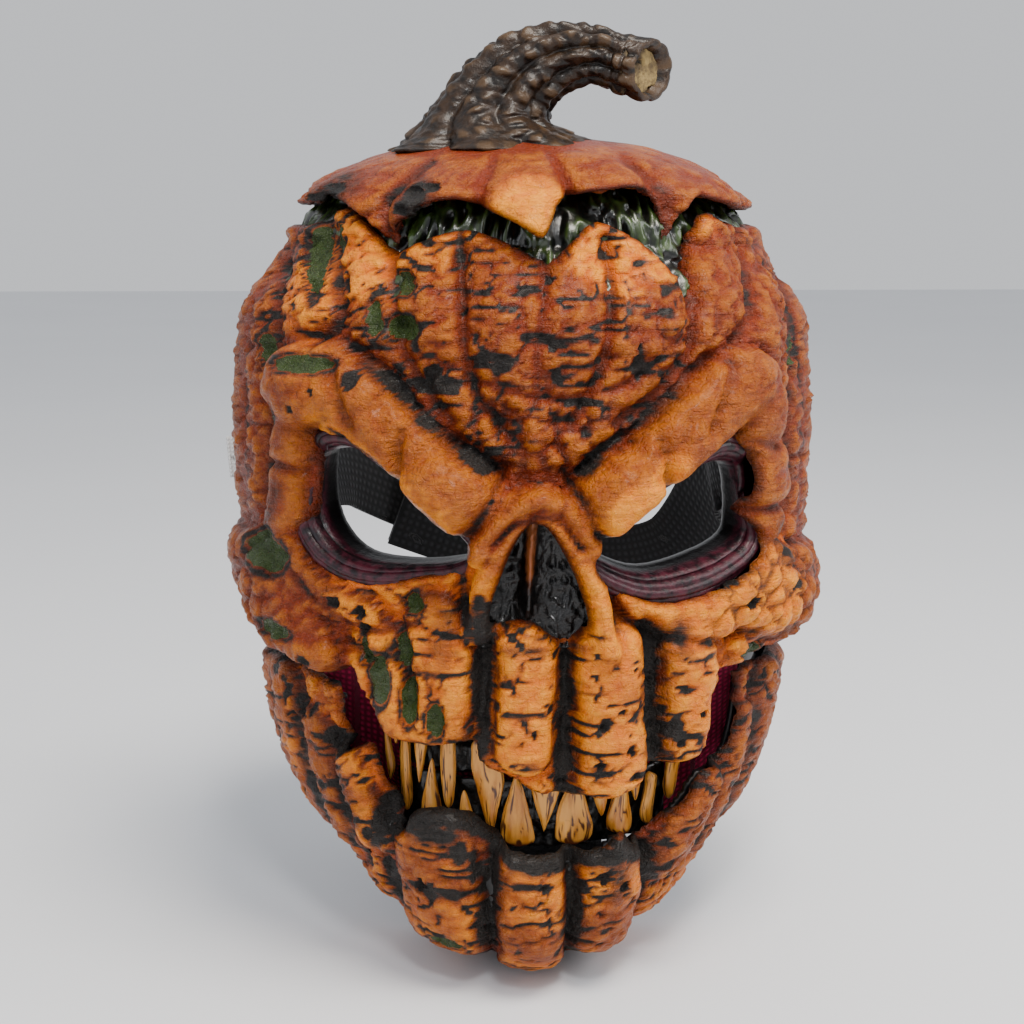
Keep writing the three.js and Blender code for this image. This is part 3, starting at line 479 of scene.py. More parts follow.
# Keeps the cells outside every hole and on the wanted side of every edge, and moves the vertices
# along the cut onto those outlines.
def trimToOutlines(sizeAt, angle, height, holes, edges, slack=2.2):
    width = sizeAt(height, 0)[0]
    x = width * np.sin(angle)
    cx = (x[1:, 1:] + x[:-1, :-1]) / 2
    cz = (height[1:, 1:] + height[:-1, :-1]) / 2
    front = np.abs(angle) < math.radians(78)
    steep = math.radians(62)
    frontCell = front[1:, 1:] & front[:-1, :-1]
    keep = np.ones(cx.shape, bool)
    for hole in holes:
        keep &= ~(inside(cx, cz, hole) & frontCell)
    for line, side in edges:
        level = np.interp(cx, line[:, 0], line[:, 1])
        keep &= (cz > level) if side > 0 else (cz < level)
    count = np.zeros(x.shape, int)
    total = np.zeros(x.shape, int)
    for dr in (0, 1):
        for dc in (0, 1):
            count[dr:x.shape[0] - 1 + dr, dc:x.shape[1] - 1 + dc] += keep
            total[dr:x.shape[0] - 1 + dr, dc:x.shape[1] - 1 + dc] += 1
    onCut = (count > 0) & (count < total)
    best = np.full(x.shape, 1e9)
    toX, toZ = x.copy(), height.copy()
    for hole in holes:
        gap, px, pz = nearestOn(x, height, hole)
        gap = np.where(front, gap, 1e9)
        closer = gap < best
        best, toX, toZ = np.where(closer, gap, best), np.where(closer, px, toX), np.where(closer, pz, toZ)
    for line, side in edges:
        gap, px, pz = nearestOn(x, height, line, False)
        level = np.interp(x, line[:, 0], line[:, 1])
        plain = np.abs(angle) > steep
        gap = np.where(plain, np.abs(height - level), gap)
        px, pz = np.where(plain, x, px), np.where(plain, level, pz)
        closer = gap < best
        best, toX, toZ = np.where(closer, gap, best), np.where(closer, px, toX), np.where(closer, pz, toZ)
    near = onCut & (best < slack)
    height = np.where(near, toZ, height)
    flatWidth = sizeAt(height, 0)[0]
    turned = np.arcsin(np.clip(toX / flatWidth, -1, 1))
    angle = np.where(near & (np.abs(angle) < steep), turned, angle)
    return angle, height, keep, np.where(near, 0, best)


skinEdges = {
    "sockets": [
        [[-67.8, 35.5], [-63.8, 38.5], [-57.2, 38.1], [-51.4, 33.9], [-41.4, 26.8], [-29, 14.9],
         [-19.8, 6.5], [-25.4, -0.7], [-35.4, -3.5], [-48.2, -6.3], [-59.6, -5.5], [-68.7, -1.4],
         [-73.8, 5.3], [-70.4, 12.5], [-68.7, 24.2]],
        [[18.1, 1.8], [20.6, 7.1], [33.2, 19], [46.2, 27.5], [53, 32.6], [61.8, 36.1], [68.1, 32.5],
         [70.1, 23.2], [69.8, 11.6], [74, 3.1], [70.3, -4.1], [57.4, -11], [40.2, -12.6], [27.1, -7.6],
         [20.6, -3.1]]],
    "nose": [[0.2, 14.9], [4.9, 12.3], [12.7, -3.7], [16, -18.1], [8.1, -22.7], [-1.3, -16.7],
             [-13.7, -16.8], [-9, 1.3], [-3.8, 12.4]],
    "lip": [[-120, -35], [-90.9, -36.4], [-75.9, -35.8], [-65.4, -38.9], [-58.5, -36.1],
            [-56, -43.1], [-51.5, -50.9], [-47.4, -57.1], [-32.8, -58.5], [-20.1, -57.4], [-17.6, -64.1],
            [-5.9, -69.4], [3.7, -75], [21.5, -75.8], [33, -73], [39.7, -68.9], [51.9, -66.1],
            [55.9, -54.8], [56.9, -44.5], [62.6, -39.6], [71.5, -38.5], [82, -37.8], [120, -35]],
    "top": [[-120, 103.8], [-75.5, 103.8], [-59.3, 109.9], [-45.8, 96.7], [-42.6, 96.7],
            [-23.8, 103], [-9.9, 100.1], [4.7, 93.5], [13.3, 100], [21.3, 105.5], [34.2, 99.8],
            [47, 88.9], [50.1, 82.7], [55.2, 107.3], [73.3, 103.8], [120, 103.8]],
    "lid": [[-120, 110.4], [-72.2, 110.4], [-59.6, 113.7], [-44.9, 98.2], [-41, 104.4],
            [-31.5, 110.6], [-22.1, 112.2], [-12.9, 109.1], [-3.7, 104.6], [2.4, 100.7], [5.6, 106.1],
            [9, 112.2], [21.9, 115.2], [35.1, 115.2], [42.8, 107.5], [45, 98.1], [50.4, 112.1],
            [56, 112.1], [74, 108.5], [120, 108.5]],
    "jaw": [[-120, -44], [-67.1, -44], [-65.6, -50.9], [-62.1, -65.9], [-59, -66.1],
            [-52.7, -63.2], [-48, -78.4], [-42.5, -91.8], [-38.1, -83.3], [-29.8, -80.2], [-20.2, -82.6],
            [-13.8, -89.1], [-7.3, -93.4], [8.9, -95.4], [22.1, -94.1], [28.8, -89.8], [34.2, -96.5],
            [39.3, -92.1], [49.8, -84], [56.9, -75.1], [64.1, -74.9], [67.9, -69.9], [71.1, -57.9],
            [71.6, -47.5], [76, -44], [120, -44]],
}


def lineOf(key, drop=0.0):
    line = rounded(skinEdges[key], closed=False, pieces=3)
    order = np.maximum.accumulate(line[:, 0] + np.arange(len(line)) * 1e-6)
    return np.stack([order, line[:, 1] - drop], 1)


# Adds the raised chains: [x, z] points, half width and height.
def addRolls(height, x, z, rolls, wobble):
    for chain, radius, rise in rolls:
        near = np.maximum(1 - (toChain(x, z, chain) * wobble / radius) ** 2, 0)
        height = np.maximum(height, rise * near ** 0.5)
    return height


def addFurrows(height, dark, x, z, furrows, wobble):
    for chain, width, depth, shade in furrows:
        gap = toChain(x, z, chain) * wobble
        shape = np.exp(-(gap / width) ** 2)
        height = height - depth * shape
        dark = np.maximum(dark, shade * np.exp(-(gap / (width * 0.95)) ** 4) * (1.9 - wobble) ** 1.5)
    return height, dark


# Short torn strokes lying level across the skin, broken up by a second pattern.
def tearStrokes(points, seed, length=13.0, gap=3.4):
    bent = points + np.stack([0 * points[..., 0], 0 * points[..., 0],
                              2.4 * layered(points, 16, seed + 40) - 1.2], -1)
    waves = lattice(bent / np.array([length, length, gap]), seed)
    thin = 1 - smooth(0.02, 0.085, np.abs(waves - 0.5))
    broken = smooth(0.34, 0.52, layered(points, (9, 9, 5), seed + 9, 2))
    return thin * broken


faceShape = {
    "rolls": [  # chain, half width, rise
        ([[-70, 54], [-63, 55], [-55, 51]], 13.5, 10.5),
        ([[-55, 50], [-46, 43], [-38, 36]], 11, 9.5),
        ([[-28, 26.5], [-23, 23]], 12.5, 14),
        ([[66, 55], [55, 47], [44, 36]], 11, 9.5),
        ([[45, 37], [40, 32]], 11, 9.5),
        ([[28, 24], [23, 21]], 12.5, 14),
        ([[68, 57], [73, 47], [72, 36]], 7.5, 8),
        ([[75, 28], [76, 20]], 8.5, 6.5),
        ([[76, 10], [74, 6]], 7.5, 4.5),
        ([[-77, 47], [-77, 33]], 7.5, 5.5),
        ([[-78, 24], [-79, 12]], 7.5, 5),
        ([[-17, 5], [-11, 14], [-6, 20], [2, 23], [9, 20], [13, 14], [18, 6]], 4.4, 9.5),
        ([[3, 17], [11, 9], [17, -4], [20, -16], [22, -26]], 5.0, 9.5),
        ([[-3, 17], [-10, 7], [-15, -6], [-18, -20]], 4.8, 8.5),
        ([[-92, -10], [-84, -21], [-75, -31]], 13, 5.5),
        ([[-80, 6], [-76, -6], [-67, -14], [-52, -17]], 6, 4.5),
        ([[-71, -33], [-69, -33]], 7.5, 7),
        ([[70, -10], [82, -18], [92, -20]], 15, 7),
        ([[50, -18], [60, -21], [70, -17]], 8, 4.5),
        ([[24, 0], [34, -12], [46, -20]], 6.5, 4),
        ([[-2, -26], [-3, -58]], 9.5, 5.5),
        ([[24, -28], [25, -60], [25, -66]], 12, 6.5),
        ([[50, -27], [51, -60]], 9.5, 5.5),
        ([[-30, -18], [-28, -40], [-32, -52]], 11, 4),
        ([[-47, -24], [-44, -46], [-41, -54]], 7, 3.5),
    ],
    "furrows": [  # chain, half width, depth, darkness
        ([[-45, 101], [-44, 85], [-41, 67], [-33, 54], [-26, 46]], 2.2, 3.0, 0.6),
        ([[-23, 103], [-22, 82], [-22, 69], [-18, 54], [-11, 45]], 2.0, 3.2, 0.72),
        ([[4, 93], [3, 82], [1, 66], [1, 52]], 1.8, 1.8, 0.5),
        ([[24, 100], [25, 82], [22, 64], [16, 52], [11, 45]], 2.0, 3.2, 0.55),
        ([[50, 96], [52, 81], [50, 66], [39, 53], [27, 45]], 2.4, 3.6, 0.6),
        ([[73, 104], [73, 93], [72, 76], [66, 68]], 2.6, 3.2, 0.6),
        ([[-67, 107], [-63, 93], [-61, 76], [-66, 68]], 2.6, 3.2, 0.7),
        ([[-83, 90], [-84, 60], [-86, 30], [-89, 8]], 2.8, 3, 0.7),
        ([[90, 88], [90, 60], [89, 36], [89, 8]], 2.8, 3, 0.7),
        ([[-29, 64], [-10, 55], [8, 52], [23, 55], [34, 60]], 1.3, 1.3, 0.4),
        ([[-10, 31], [0, 27], [10, 28]], 1.5, 1.6, 0.4),
        ([[-16, -9], [-16, -26], [-17, -42], [-16, -58]], 3.4, 4.2, 1.05),
        ([[10.5, -27], [11, -42], [10, -59], [9, -74]], 3.2, 4.2, 1.05),
        ([[36, -20], [38, -38], [39, -58], [40, -69]], 3.4, 4.2, 1.05),
        ([[-23, 4], [-22, -10], [-19, -22]], 2.2, 2.8, 0.95),
        ([[22, 8], [25, -5], [25, -20]], 2.2, 2.8, 0.95),
        ([[-78, -4], [-70, -13], [-58, -20], [-47, -22], [-36, -18]], 1.8, 2, 0.6),
        ([[26, -16], [42, -24], [58, -28], [72, -27], [80, -33]], 1.9, 2.4, 0.7),
        ([[-60, -27], [-50, -33], [-44, -28], [-38, -36]], 2, 2.4, 0.8),
        ([[-78, 47], [-84, 30], [-85, 14]], 1.8, 2, 0.7),
        ([[-12, 9], [-6, 15.5], [3, 18], [9, 14], [13, 8]], 1.2, 2.2, 0.7),
        ([[-9, 32], [-13, 22], [-18, 13], [-24, 9.5]], 1.7, 3.6, 0.8),
        ([[9, 31], [13, 24], [18, 12], [24, 8]], 1.7, 3.6, 0.8),
        ([[-60, 42], [-50, 36], [-38, 25], [-26, 14]], 1.5, 1.5, 0.7),
        ([[28, 14], [40, 23], [54, 34], [64, 41]], 1.5, 1.5, 0.7),
        ([[-58, 62], [-52, 44]], 1.9, 2.6, 0.5), ([[-38, 43], [-40, 28]], 2.2, 3.6, 0.6),
        ([[-44, 50], [-39, 34]], 1.5, 1.6, 0.35), ([[60, 62], [51, 42]], 1.9, 2.6, 0.5),
        ([[37, 40], [40, 24]], 2.2, 3.6, 0.6), ([[45, 46], [38, 28]], 1.5, 1.6, 0.35),
        ([[64, 38], [78, 33]], 1.8, 2.2, 0.5), ([[66, 13], [82, 14]], 1.8, 2.0, 0.6),
        ([[-70, 40], [-60, 46]], 1.8, 2.0, 0.6), ([[-84, 29], [-72, 27]], 1.8, 2.0, 0.6),
        ([[-8, 20], [-4, 26]], 1.4, 1.4, 0.5), ([[9, 24], [7, 17]], 1.4, 1.4, 0.5),
        ([[-52, 64], [-44, 58], [-34, 46], [-22, 37], [-12, 31]], 2.2, 3.2, 0.95),
        ([[14, 30], [22, 37], [34, 44], [46, 55], [56, 64]], 2.2, 3.2, 0.9),
        ([[-8, 36], [-9, 50]], 1.4, 1.4, 0.45), ([[9, 36], [5, 48], [4, 60]], 1.4, 1.4, 0.45),
    ],
    "holes": [  # x, z, half width, half height, depth, green
        (-40, 87, 4, 4, 3, 1), (-49, 76, 2.6, 6, 3, 1), (-40, 73.5, 5.5, 4.2, 3, 1),
        (-66, 62, 9, 3, 2, 1), (-69, 93, 3.4, 11, 3, 1), (-62, 100, 2.2, 5, 2, 1),
        (-37, -12, 3.4, 3.2, 3, 1), (-84, -2, 7, 7.5, 2.5, 1), (-80, -27, 6, 3, 2, 1),
        (-83, 41, 2.6, 11, 2.5, 1), (-87, 64, 2, 5, 2, 1), (-40, -27, 3, 6, 2.6, 1),
        (-48, -38, 4, 9, 3, 1), (-38, -43, 2.8, 8, 3, 1), (-30, -49, 3, 6, 3, 1), (-53, -29, 3, 5, 2, 1),
        (76, -36, 5, 3, 2, 1), (92, 63, 1.5, 6, 2, 1), (87, 75, 1.5, 3, 2, 1), (-52, 58, 2, 3, 2, 0),
        (-62, -14, 2.4, 2, 3, 0), (-53, -16, 2, 2, 3, 0), (-53, -21, 1.6, 2, 3, 0),
        (-69, -34.5, 1.8, 2, 3, 0), (62, -8, 2, 2.4, 3, 0), (68, -16, 2, 2.2, 3, 0),
        (84, -14, 2, 2, 3, 0), (-58, 86, 1.8, 2.4, 3, 0), (-32, 60, 2.2, 2.4, 3, 0),
        (21, -50, 1.3, 1.5, 2.4, 0), (29, -59, 1.3, 1.5, 2.4, 0), (20, -63, 1.2, 1.4, 2.4, 0),
        (46, -60, 1.4, 1.4, 2.4, 0), (0, -52, 1.1, 1.3, 2, 0), (5, -44, 1, 1.2, 2, 0),
        (31, -68, 1.3, 1.2, 2.4, 0), (26, -45, 1, 1.1, 2, 0), (52, -50, 1.3, 1.2, 2, 0),
        (-12, 22, 0.8, 0.8, 1, 0), (-62, 54, 1, 1, 1.5, 0), (-69, 48, 1, 1.2, 1.5, 0),
    ],
    "bubbles": [(42, 75, 4.4, 2.2), (36, 68, 3, 1.6), (60, 30, 3, 1), (-86, -14, 3.5, 1.6),
                (30, 60, 2.2, 1.2), (46, 66, 2.4, 1.3)],
}


def carveSkin(sizeAt, angle, height, gap, shape, seed):
    base = onForm(sizeAt, angle, height, 0)
    x, z = base[..., 0], height
    wobble = 0.6 + 0.85 * layered(base, (8, 8, 8), seed + 1)
    side = smooth(math.radians(58), math.radians(72), np.abs(angle))
    dark = np.zeros(x.shape)
    # broad ribs round the sides, running down to the jaw
    rib = np.abs(np.cos(9 * angle + 0.5 * (layered(base, 40, seed + 2) - 0.5)))
    rise = side * (5.2 * rib ** 0.5 - 4.2)
    dark = np.maximum(dark, side * 0.8 * np.exp(-(rib / 0.16) ** 2))
    nearest = np.full(x.shape, 1e9)
    for chain, *_ in shape["furrows"]:
        nearest = np.minimum(nearest, toChain(x, z, chain))
    rise = rise + (1 - side) * 2.2 * (1 - np.exp(-(nearest / 8) ** 2))
    lumps = (layered(base, 11, seed + 3, 3) - 0.5) * 2.6
    bulge = 0.86 + 0.34 * layered(base, (12, 12, 12), seed + 7, 2)
    rolled = addRolls(np.zeros(x.shape), x, z, shape["rolls"], 1 / bulge) * (0.75 + 0.4 * bulge - 0.1)
    onRoll = smooth(0.5, 3.5, rolled)
    moat = np.zeros(x.shape)
    for chain, radius, up in shape["rolls"]:
        past = toChain(x, z, chain) - radius * 0.98
        moat = np.maximum(moat, (up / 4.0) * np.exp(-(past / 3.4) ** 2) * (past > -2.5))
    rise = rise - moat * (1 - onRoll)
    rise = np.maximum(rise * (1 - 0.5 * onRoll), 0.4 * rise + rolled) + lumps * (1 - 0.45 * onRoll)
    # painted shade: a dark band where a roll meets the skin below it, standing in for the roll's shadow
    edge = np.exp(-((rolled - 1.2) / 1.5) ** 2) * (rolled > 0.05)
    dark = np.maximum(dark, (0.3 + 0.6 * layered(base, 6, seed + 33)) * edge * shape.get("rollFootShade", 1))
    rise, dark = addFurrows(rise, dark, x, z, shape["furrows"], wobble)
    first, second = cells(base, shape.get("cobble", 9.0), seed + 5)
    cobble = shape["cobbled"](x, z, angle)
    ridge = smooth(0.02, 0.28, second - first)
    rise = rise + cobble * (2.6 * ridge * (1 - first * 0.5) - 1.3)
    dark = np.maximum(dark, cobble * 0.62 * (1 - smooth(0.03, 0.16, second - first)))
    torn = shape["torn"](x, z, angle)
    strokes = np.maximum(tearStrokes(base, seed + 20), 0.8 * tearStrokes(base, seed + 60, 8.0, 2.4))
    strokes = strokes * torn * (1 - 0.75 * onRoll * shape.get("smoothRolls", 1) * (z > 0))
    rise = rise - 1.1 * strokes
    dark = np.maximum(dark, 0.95 * strokes)
    green = np.zeros(x.shape)
    for hx, hz, across, up, depth, isGreen in shape["holes"]:
        reach = np.hypot((x - hx) / across, (z - hz) / up) * (0.8 + 0.4 * layered(base, 4, seed + 8))
        bowl = np.clip(1.25 - reach, 0, 1)
        lip = np.exp(-((reach - 1.25) / 0.25) ** 2)
        rise = rise - depth * np.sqrt(bowl) * 0.9 + 0.5 * lip
        if isGreen:
            green = np.maximum(green, smooth(0.0, 0.25, 1.05 - reach))
            dark = np.maximum(dark, 0.8 * np.exp(-((reach - 1.1) / 0.2) ** 2))
        else:
            dark = np.maximum(dark, smooth(0.0, 0.3, 1.2 - reach))
    for bx, bz, radius, up in shape.get("bubbles", []):
        reach = np.hypot(x - bx, z - bz) / radius
        rise = rise + up * np.sqrt(np.maximum(1 - reach ** 2, 0))
        dark = np.maximum(dark, 0.45 * np.exp(-((reach - 1.05) / 0.12) ** 2))
    for chain, width, shade in shape.get("washes", []):
        soft = np.exp(-(toChain(x, z, chain) * wobble / width) ** 2)
        dark = np.maximum(dark, shade * soft * (0.6 + 0.6 * layered(base, 5, seed + 31)))
    rise = rise + 1.0 * (layered(base, 3.2, seed + 12, 2) - 0.5)
    folds = np.abs(layered(base, (7, 7, 3.0), seed + 16, 2) - 0.5) * 2
    rise = rise - 1.2 * (1 - smooth(0.0, 0.22, folds)) * (0.35 + 0.65 * (1 - onRoll))
    dark = np.maximum(dark, 0.34 * (1 - smooth(0.0, 0.12, folds)))
    if "fade" in shape:
        rise = rise * shape["fade"](base)
    # the foam's edges roll in towards the shell
    roll = 4.0
    inner = np.clip(1 - gap / roll, 0, 1)
    rise = rise - roll * (1 - np.sqrt(1 - inner ** 2)) * 0.9
    dark = np.maximum(dark, 0.6 * smooth(0.35, 1, inner))
    # colour tones: high spots show paler, partly drybrush and partly painted highlight; rust washes lie in
    # patches
    raised = np.clip((rise - blurred(rise, 4)) * 0.9 + 0.1, 0, 1) * (1 - dark)
    # painted highlight: the rolls inside the pale zones are painted paler still
    raised = np.maximum(raised, shape["pale"](x, z, angle) * onRoll * 0.75)
    rust = shape["rust"](x, z, angle) * (0.55 + 0.9 * (layered(base, 26, seed + 14) - 0.25))
    # painted shade: the band round each roll's foot also pushes the tone towards rust
    rust = rust + 0.45 * edge
    width, depth = sizeAt(height, 0)
    place = np.stack([(width + rise) * np.sin(angle), -(depth + rise) * np.cos(angle), height], -1)
    return place, {"dark": np.clip(dark, 0, 1.2), "green": green, "raised": np.clip(raised, 0, 1),
                   "rust": np.clip(rust, 0, 1)}


def zoneOf(x, z, middle, reach, edge=0.35):
    away = np.hypot((x - middle[0]) / reach[0], (z - middle[1]) / reach[1])
    return 1 - smooth(1 - edge, 1 + edge, away)


faceShape["cobbled"] = lambda x, z, a: np.clip(
    0.9 * zoneOf(x, z, (2, 42), (34, 13)) + 0.95 * zoneOf(x, z, (76, -18), (22, 24))
    + 0.5 * zoneOf(x, z, (-78, -14), (20, 24))
    + 0.4 * smooth(math.radians(50), math.radians(64), np.abs(a))
    + 0.25 * zoneOf(x, z, (55, 70), (26, 40)), 0, 1)
faceShape["torn"] = lambda x, z, a: np.clip(
    1.1 * zoneOf(x, z, (-2, 72), (58, 44)) + 1.0 * zoneOf(x, z, (14, -48), (58, 34))
    + 0.75 * zoneOf(x, z, (-62, 75), (26, 46))
    + 0.55 * smooth(math.radians(48), math.radians(60), np.abs(a))
    + 0.7 * zoneOf(x, z, (-40, -16), (34, 16)), 0, 1)
# painted highlight zones: the brows, the right cheek, beside the nose and the lips
faceShape["pale"] = lambda x, z, a: np.clip(
    zoneOf(x, z, (-40, 36), (34, 26)) + zoneOf(x, z, (40, 34), (34, 28))
    + 0.7 * zoneOf(x, z, (76, -18), (24, 24))
    + 0.6 * zoneOf(x, z, (14, -12), (20, 24)) + 0.4 * zoneOf(x, z, (20, -60), (50, 16)), 0, 1)
faceShape["rust"] = lambda x, z, a: np.clip(
    0.9 * zoneOf(x, z, (0, 44), (36, 18))
    + 0.5 * smooth(math.radians(50), math.radians(66), np.abs(a))
    + 1.15 * zoneOf(x, z, (-4, 60), (46, 34)) - 0.5 * zoneOf(x, z, (18, 74), (16, 20))
    + 0.8 * zoneOf(x, z, (-86, 20), (22, 50))
    + 0.9 * zoneOf(x, z, (-82, -28), (22, 20)) + 0.8 * zoneOf(x, z, (72, 60), (30, 50))
    + 0.5 * zoneOf(x, z, (0, 14), (22, 18)) + 0.3 * zoneOf(x, z, (-50, 60), (40, 18)) + 0.2, 0, 1)
faceShape["washes"] = [
    ([[-14, -12], [-17, -60]], 5.0, 0.9), ([[10, -30], [10, -74]], 4.5, 0.9),
    ([[37, -22], [39, -68]], 5.5, 0.95),
    ([[-26, -16], [-28, -26]], 7, 0.6), ([[44, -20], [46, -28]], 5, 0.7), ([[14, -25], [-10, -24]], 3, 0.6),
    ([[4, 94], [2, 99]], 5, 0.6), ([[-22, 100], [-22, 70]], 3, 0.6), ([[-78, 20], [-82, 8]], 4, 0.7),
    ([[80, 6], [82, -4]], 5, 0.75)]

sockets = [rounded(o) for o in skinEdges["sockets"]]
noseEdge = rounded(skinEdges["nose"])
lipLine, topLine, lidLine = lineOf("lip"), lineOf("top"), lineOf("lid")
headHeights = np.concatenate([np.linspace(-78, 98, 150), np.linspace(99.2, 112, 12)])
angle, height = angleGrid(headSize, headHeights, 190, 26)
angle, height, keep, gap = trimToOutlines(
    headSize, angle, height, [*sockets, noseEdge], [(lipLine, 1), (topLine, -1)])
points, fields = carveSkin(headSize, angle, height, gap, faceShape, 11)
faceSkin = gridPiece("faceSkin", points, keep, fields, thickness=2.6)
turnOutward(faceSkin, (0, 0, 20))
finishPiece(faceSkin, "mask", skinFinish, "orange_skin", "face_skin")
print("face skin made")

# jaw skin
jawShape = {
    "rolls": [
        ([[-33, -90], [-30, -112], [-26, -132]], 13, 5.5), ([[-1, -100], [0, -118], [1, -140]], 12, 5.5),
        ([[25, -98], [25, -112], [23, -132]], 11, 5.5), ([[-60, -69], [-55, -84], [-50, -98]], 5.5, 5),
        ([[59, -79], [52, -92], [45, -106]], 8, 5), ([[-86, -50], [-82, -78], [-70, -104]], 8, 3.5),
        ([[86, -50], [82, -78], [70, -104]], 8, 3.5), ([[-72, -60], [-68, -84], [-60, -104]], 5, 3),
        ([[73, -60], [68, -84], [58, -106]], 5, 3),
    ],
    "furrows": [
        ([[-12, -90], [-14, -105], [-15, -125], [-13, -150]], 3.2, 4, 1.05),
        ([[13, -96], [14, -113], [13, -129], [13, -150]], 3.0, 3.6, 1.05),
        ([[-48, -82], [-50, -104], [-44, -129]], 2.8, 3, 0.9),
        ([[38, -98], [40, -113], [34, -135]], 2.8, 3.2, 0.9),
        ([[-66, -62], [-62, -90], [-56, -113]], 2.2, 2.4, 0.85),
        ([[65, -74], [60, -96], [50, -114]], 2.2, 2.4, 0.8),
        ([[-78, -48], [-76, -78], [-66, -108]], 2.4, 2.6, 0.8),
        ([[79, -48], [76, -78], [65, -108]], 2.4, 2.6, 0.8),
        ([[-94, -46], [-90, -80], [-76, -112]], 2.4, 2.4, 0.8),
        ([[94, -46], [90, -80], [76, -112]], 2.4, 2.4, 0.8),
    ],
    "holes": [
        (-26, -131, 5, 2.4, 2, 1), (16, -138, 5, 3, 2, 1), (-34, -108, 1.2, 2.6, 2.6, 0),
        (22, -104, 1.8, 2.2, 3, 0),
        (28, -108, 1.6, 1.8, 3, 0), (-57, -87, 1.5, 3, 2.4, 0), (-52, -95, 1.2, 2.4, 2, 0),
        (3, -106, 1, 1.2, 2, 0),
        (-76, -58, 1.6, 2.6, 2.4, 0), (62, -82, 1.5, 2, 2.4, 0),
    ],
    "washes": [
        ([[-44, -90], [-38, -84], [-29, -82], [-20, -84], [-12, -91], [-6, -96], [9, -98], [24, -97],
          [30, -94], [36, -99]], 4.2, 1.1), ([[-38, -88], [-26, -88]], 5.5, 0.9),
        ([[-13, -92], [-14, -128]], 4.5, 0.85),
        ([[13, -96], [13, -130]], 4.2, 0.85), ([[-62, -74], [-56, -92]], 4, 0.7),
        ([[40, -98], [38, -120]], 4, 0.7),
        ([[26, -100], [26, -110]], 6, 0.7)],
    "cobbled": lambda x, z, a: 0.35 + 0 * x,
    "torn": lambda x, z, a: 1.0 + 0 * x,
    # painted highlight on every roll of the jaw
    "pale": lambda x, z, a: 0.55 + 0 * x,
    "rust": lambda x, z, a: np.clip(0.5 + 0.4 * zoneOf(x, z, (60, -80), (30, 30)), 0, 1),
    "smoothRolls": 0,
}
jawBack = np.array([[-150, -30], [-130, -22], [-100, -4], [-64, 14], [-48, 18], [-30, 18]], float)


def jawReach(height, depth):
    back = np.interp(height, jawBack[:, 0], jawBack[:, 1])
    return math.acos(max(min(-back / depth, 1), -1))


jawLine = lineOf("jaw")
jawHeights = np.concatenate([np.linspace(-145, -130, 16), np.linspace(-128.6, -41, 74)])
angle, height = angleGrid(jawSize, jawHeights, 150, 22, lastAngle=jawReach)
angle, height, keep, gap = trimToOutlines(jawSize, angle, height, [], [(jawLine, -1)])
gap = np.minimum(gap, np.maximum(height + 145.0, 0) * 1.5 + 0.5)
points, fields = carveSkin(jawSize, angle, height, gap, jawShape, 47)
# the underside closes towards the throat
under = [0.04, 0.3, 0.55, 0.78, 0.93]
middle = np.array([0.0, -29.0, -145.5])
points = np.concatenate([[middle + (points[0] - middle) * k for k in under], points])
keep = np.concatenate([np.ones((len(under), keep.shape[1]), bool), keep])
fields = {key: np.concatenate([np.repeat(f[:1], len(under), 0), f]) for key, f in fields.items()}
jawSkin = gridPiece("jawSkin", points, keep, fields, thickness=2.6)
turnOutward(jawSkin, (0, 0, -100))
finishPiece(jawSkin, "jaw", skinFinish, "orange_skin", "jaw_skin")
print("jaw skin made")

# lid with its scalloped flaps
lidShape = {
    "rolls": [
        ([[-1, 104], [-2, 114], [-4, 122]], 14, 8), ([[-33, 108], [-26, 118], [-16, 126]], 11, 5),
        ([[28, 110], [24, 118], [14, 126]], 12, 5), ([[-62, 112], [-50, 118], [-34, 126]], 9, 4),
        ([[58, 112], [50, 118], [34, 126]], 10, 4.5),
    ],
    "furrows": [
        ([[-16, 106], [-14, 116], [-10, 126]], 1.8, 3, 0.35),
        ([[13, 108], [10, 118], [6, 126]], 1.8, 3, 0.35),
        ([[-45, 98], [-44, 112], [-30, 124]], 2.2, 3.2, 0.8),
        ([[46, 96], [44, 112], [30, 124]], 2.2, 3.2, 0.6),
    ],
    "holes": [(-34, 114, 3.4, 2.2, 3, 0), (-38, 109, 2.2, 1.6, 2.6, 0), (-28, 116, 2, 1.2, 2.4, 0),
              (-58, 116, 3, 1.6, 2, 0), (-66, 113, 2.4, 1.2, 2, 0)],
    "washes": [([[-36, 110], [-32, 116]], 6, 0.85), ([[-62, 113], [-54, 118]], 6, 0.8)],
    "cobbled": lambda x, z, a: 0.25 + 0 * x,
    "torn": lambda x, z, a: 0.4 + 0 * x,
    # painted highlight on the lid's front lobe
    "pale": lambda x, z, a: 1.6 * zoneOf(x, z, (0, 107), (11, 10)),
    "rust": lambda x, z, a: np.clip(0.9 - 0.8 * zoneOf(x, z, (0, 108), (13, 12)), 0, 1),
    # the painted shade round the lid's rolls is weaker
    "rollFootShade": 0.6,
    "fade": lambda base: 0.15 + 0.85 * smooth(26, 46, np.hypot(base[..., 0] + 8, base[..., 1] + 10)),
}
lidHeights = np.concatenate([
    np.linspace(95, 116, 26),
    dome["base"] + dome["rise"] * np.sin(np.linspace(math.asin(18.6 / 36), math.pi / 2 - 0.04, 26))])
angle, height = angleGrid(headSize, lidHeights, 150, 24)
angle, height, keep, gap = trimToOutlines(headSize, angle, height, [], [(lidLine, 1)])
points, fields = carveSkin(headSize, angle, height, gap, lidShape, 83)
lift = 0.6 + 1.8 * np.exp(-(gap / 9) ** 2)
points[..., 1] -= lift * np.cos(angle)
points[..., 0] += lift * np.sin(angle)
crownLid = gridPiece("crownLid", points, keep, fields, thickness=3.4, weld=True)
turnOutward(crownLid, (0, 0, 90))
finishPiece(crownLid, "mask", skinFinish, "orange_skin", "crown_lid")

